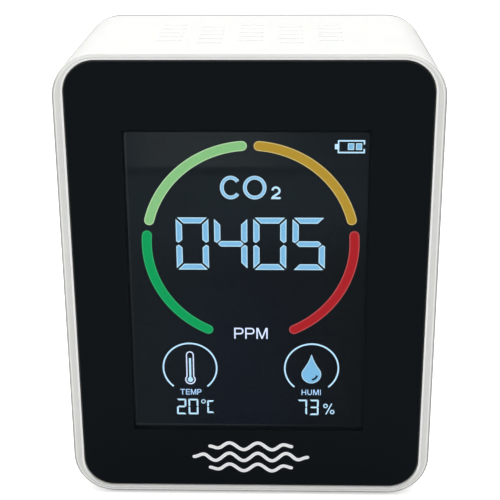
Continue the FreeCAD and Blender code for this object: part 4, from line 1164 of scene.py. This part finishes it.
def draw_drop():
    """Water drop with slightly curved flanks and a short dark glint."""
    mid_x, mid_z = on_glass(12.67, 26.26)
    tip = on_glass(0, 30.92)[1]
    radius = 2.05
    curve = 0.20

    def flank(foot, sign):
        """Points from the round body up towards the tip."""
        points = []
        for i in range(1, 10):
            rise = i / 10
            x = foot[0] + (mid_x - foot[0]) * rise
            z = foot[1] + (tip - foot[1]) * rise
            points.append((x + sign * curve * math.sin(math.pi * rise), z))
        return points

    art = Flat()
    body = bulb_arc(mid_x, mid_z, radius, math.degrees(math.asin(radius / (tip - mid_z))),
                    steps=40)
    art.poly(body + flank(body[-1], 1.0) + [(mid_x, tip)] + flank(body[0], -1.0)[::-1],
             inset=0.22)
    show(art, "drop", "blue")
    art = Flat()
    art.arc(mid_x, mid_z, radius_x=1.20, radius_z=1.20, start=-76, end=-18, width=0.42,
            steps=12, rounded=True, inset=0.10)
    art.solid("display_drop_glint", ART_FRONT - 0.012, 0.010,
              ink("drop_glint", colour=(0.010, 0.020, 0.045)), slot="colour_film")


def draw_small_legend(name, x, z, gap, letters):
    """Small word; letters are (character, width)."""
    art = Flat()
    x, z = on_glass(x, z)
    for char, wide in letters:
        letter(art, char, x, z, wide=wide, high=1.28, pen=0.175)
        x += wide + gap
    show(art, name, "small")


READING = {"stroke": 0.35, "gap": 0.07, "inset": 0.09}  # small seven-segment style


def draw_temperature_reading():
    """Two figures, the degree ring and a C."""
    art = Flat()
    draw_characters(art, ((-15.66, -13.68, 16.74, 20.38, "2"),
                          (-13.20, -11.12, 16.74, 20.38, "0"),
                          (-9.24, -7.74, 17.08, 20.06, "C")), **READING)
    art.ring(*on_glass(-10.03, 19.80), 0.40, 0.40, width=0.17, steps=24, inset=0.05)
    show(art, "temperature_reading", "pale")


def draw_humidity_reading():
    """Two figures and a percent sign of two rings and a slash."""
    art = Flat()
    draw_characters(art, ((9.84, 11.86, 16.76, 20.36, "7"),
                          (12.36, 14.30, 16.76, 20.36, "3")), **READING)
    x, z = on_glass(15.22, 16.93)
    for shift_x, shift_z in ((0.52, 2.00), (1.95, 0.56)):
        art.ring(x + shift_x, z + shift_z, 0.37, 0.40, width=0.21, steps=24, inset=0.05)
    art.strip([(x + 0.62, z + 0.0), (x + 1.85, z + 2.55)], width=0.22, inset=0.06)
    show(art, "humidity_reading", "pale")


draw_air_ring()
draw_main_digits()
draw_co2_legend()
draw_ppm_legend()
draw_battery()
draw_dials()
draw_thermometer()
draw_drop()
draw_small_legend("temp_legend", x=-14.86, z=21.40, gap=0.20,
                  letters=(("T", 0.98), ("E", 0.84), ("M", 1.14), ("P", 0.90)))
draw_small_legend("humi_legend", x=10.68, z=21.46, gap=0.25,
                  letters=(("H", 0.96), ("U", 0.96), ("M", 1.18), ("I", 0.175)))
draw_temperature_reading()
draw_humidity_reading()


# ------------------------------------------------------------------ prints on the body
def draw_wave_ornament():
    """Three silver waves on the lower border of the lens."""
    steps, wavelength, fade_length, pitch = 72, 6.0, 2.6, 2.55
    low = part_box("front_lens")[0]
    middle_row = low.z * 1000 + 6.85
    art = Flat()
    # half length, amplitude
    for row, (half, amplitude) in enumerate(((8.6, 0.80), (12.0, 0.90), (8.6, 0.80))):
        mid_z = middle_row + (row - 1) * pitch
        line = []
        for i in range(steps + 1):
            x = -half + 2 * half * i / steps
            fade = min(1.0, (half - abs(x)) / fade_length)
            height = amplitude * fade * math.sin(2 * math.pi * x / wavelength)
            line.append((MID_X + x, mid_z + height))
        art.strip(line, width=0.74, rounded=True, inset=0.13)
    art.solid("lens_wave_ornament", low.y * 1000 - 0.02, 0.025, silver_ink("ornament_silver"),
              slot="print_black")


def draw_power_symbol():
    """Grey power symbol on the rear cover, above the foot of the power button."""
    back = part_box("rear_cover")[1].y * 1000
    low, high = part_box("power_button")
    # drawn as seen from behind, so x is mirrored
    x = -((low.x + high.x) * 500)
    z = low.z * 1000 + 12.8
    style = {"width": 0.34, "rounded": True, "inset": 0.08}
    art = Flat()
    art.arc(x, z, radius_x=1.35, radius_z=1.35, start=125, end=415, steps=48, **style)
    art.strip([(x, z + 0.35), (x, z + 1.75)], **style)
    art.solid("rear_power_symbol", 0.0, 0.02, ink("rear_print_grey", colour=(0.17, 0.17, 0.175)),
              slot="housing_white",
              place=lambda x, y, z: (-x * MM, (back + 0.012 - y) * MM, z * MM))


draw_wave_ornament()
draw_power_symbol()


# ------------------------------------------------------------------ stage, light, camera
def build_floor():
    """White floor, brighter to the camera and nearly black in reflections."""
    reach = 6.0
    tree = Tree("stage_floor")
    ray = tree.node("ShaderNodeLightPath").outputs
    tone = tree.mix(ray["Is Glossy Ray"], (0.74, 0.74, 0.735), (0.05, 0.052, 0.055))
    tree.set("Base Color", tree.mix(ray["Is Camera Ray"], tone, (0.92, 0.92, 0.92)))
    tree.set("Roughness", 0.9).set("Specular IOR Level", 0.0)
    tree.set("Emission Color", (1.0, 1.0, 1.0))
    tree.set("Emission Strength", tree.mul(ray["Is Camera Ray"], 0.42))
    data = bpy.data.meshes.new("stage_floor")
    corners = [(-reach, -reach, 0), (reach, -reach, 0), (reach, reach, 0), (-reach, reach, 0)]
    data.from_pydata(corners, [], [(0, 1, 2, 3)])
    data.materials.append(tree.material)
    floor = bpy.data.objects.new("stage_floor", data)
    bpy.context.scene.collection.objects.link(floor)


def build_world():
    """White surroundings, even to the camera; other rays see them brighten upwards."""
    world = bpy.data.worlds.new("studio")
    bpy.context.scene.world = world
    world.use_nodes = True
    nodes = world.node_tree.nodes
    link = world.node_tree.links.new
    nodes.clear()
    output = nodes.new("ShaderNodeOutputWorld")
    gradient = nodes.new("ShaderNodeBackground")
    plain = nodes.new("ShaderNodeBackground")
    mix = nodes.new("ShaderNodeMixShader")
    light_path = nodes.new("ShaderNodeLightPath")
    coords = nodes.new("ShaderNodeTexCoord")
    axes = nodes.new("ShaderNodeSeparateXYZ")
    ramp = nodes.new("ShaderNodeMapRange")
    link(coords.outputs["Generated"], axes.inputs[0])
    link(axes.outputs["Z"], ramp.inputs["Value"])
    for key, value in (("From Min", 0.0), ("From Max", 0.9), ("To Min", 0.30), ("To Max", 1.20)):
        ramp.inputs[key].default_value = value
    link(ramp.outputs[0], gradient.inputs["Strength"])
    for background in (gradient, plain):
        background.inputs["Color"].default_value = (1.0, 1.0, 1.0, 1.0)
    plain.inputs["Strength"].default_value = 1.1
    link(light_path.outputs["Is Camera Ray"], mix.inputs[0])
    link(gradient.outputs[0], mix.inputs[1])
    link(plain.outputs[0], mix.inputs[2])
    link(mix.outputs[0], output.inputs[0])


def build_lights():
    """Square softboxes aimed at the middle of the body."""
    target = Vector((0, 0, 0.05))
    # name, place in metres, side in metres, power in watts
    for name, place, side, power in (
            ("softbox_top", (0.0, 0.10, 0.80), 0.7, 1.9),
            ("softbox_left", (-0.80, -0.10, 0.30), 0.5, 0.5),
            ("softbox_right", (0.80, -0.10, 0.30), 0.5, 0.35)):
        data = bpy.data.lights.new(name, "AREA")
        data.shape = "RECTANGLE"
        data.size = side
        data.size_y = side
        data.energy = power
        light = bpy.data.objects.new(name, data)
        bpy.context.scene.collection.objects.link(light)
        light.location = place
        light.rotation_euler = (target - Vector(place)).to_track_quat("-Z", "Y").to_euler()


def build_camera():
    """Camera in front of the lens and above it, looking down."""
    data = bpy.data.cameras.new("camera")
    camera = bpy.data.objects.new("camera", data)
    bpy.context.scene.collection.objects.link(camera)
    data.sensor_width = 36.0
    data.sensor_fit = "HORIZONTAL"
    data.lens = 86.429232
    data.clip_start = 0.01
    data.clip_end = 50.0
    place = Vector((0.00616289, -0.24475187, 0.13869808))
    # pitch is downwards, yaw turns from +Y towards +X
    pitch, yaw, roll = [math.radians(angle) for angle in (20.4132, -1.5621, -0.32222)]
    forward = Vector((math.sin(yaw) * math.cos(pitch), math.cos(yaw) * math.cos(pitch),
                      -math.sin(pitch)))
    level = Vector((math.cos(yaw), -math.sin(yaw), 0.0))
    up = level.cross(forward)
    rolled_right = level * math.cos(roll) + up * math.sin(roll)
    rolled_up = -level * math.sin(roll) + up * math.cos(roll)
    turn = Matrix([[rolled_right[i], rolled_up[i], -forward[i]] for i in range(3)])
    camera.matrix_world = Matrix.Translation(place) @ turn.to_4x4()
    bpy.context.scene.camera = camera


build_floor()
build_world()
build_lights()
build_camera()

view = bpy.context.scene.view_settings
view.view_transform = "Standard"
view.look = "None"
view.exposure = 0.0
view.gamma = 1.0
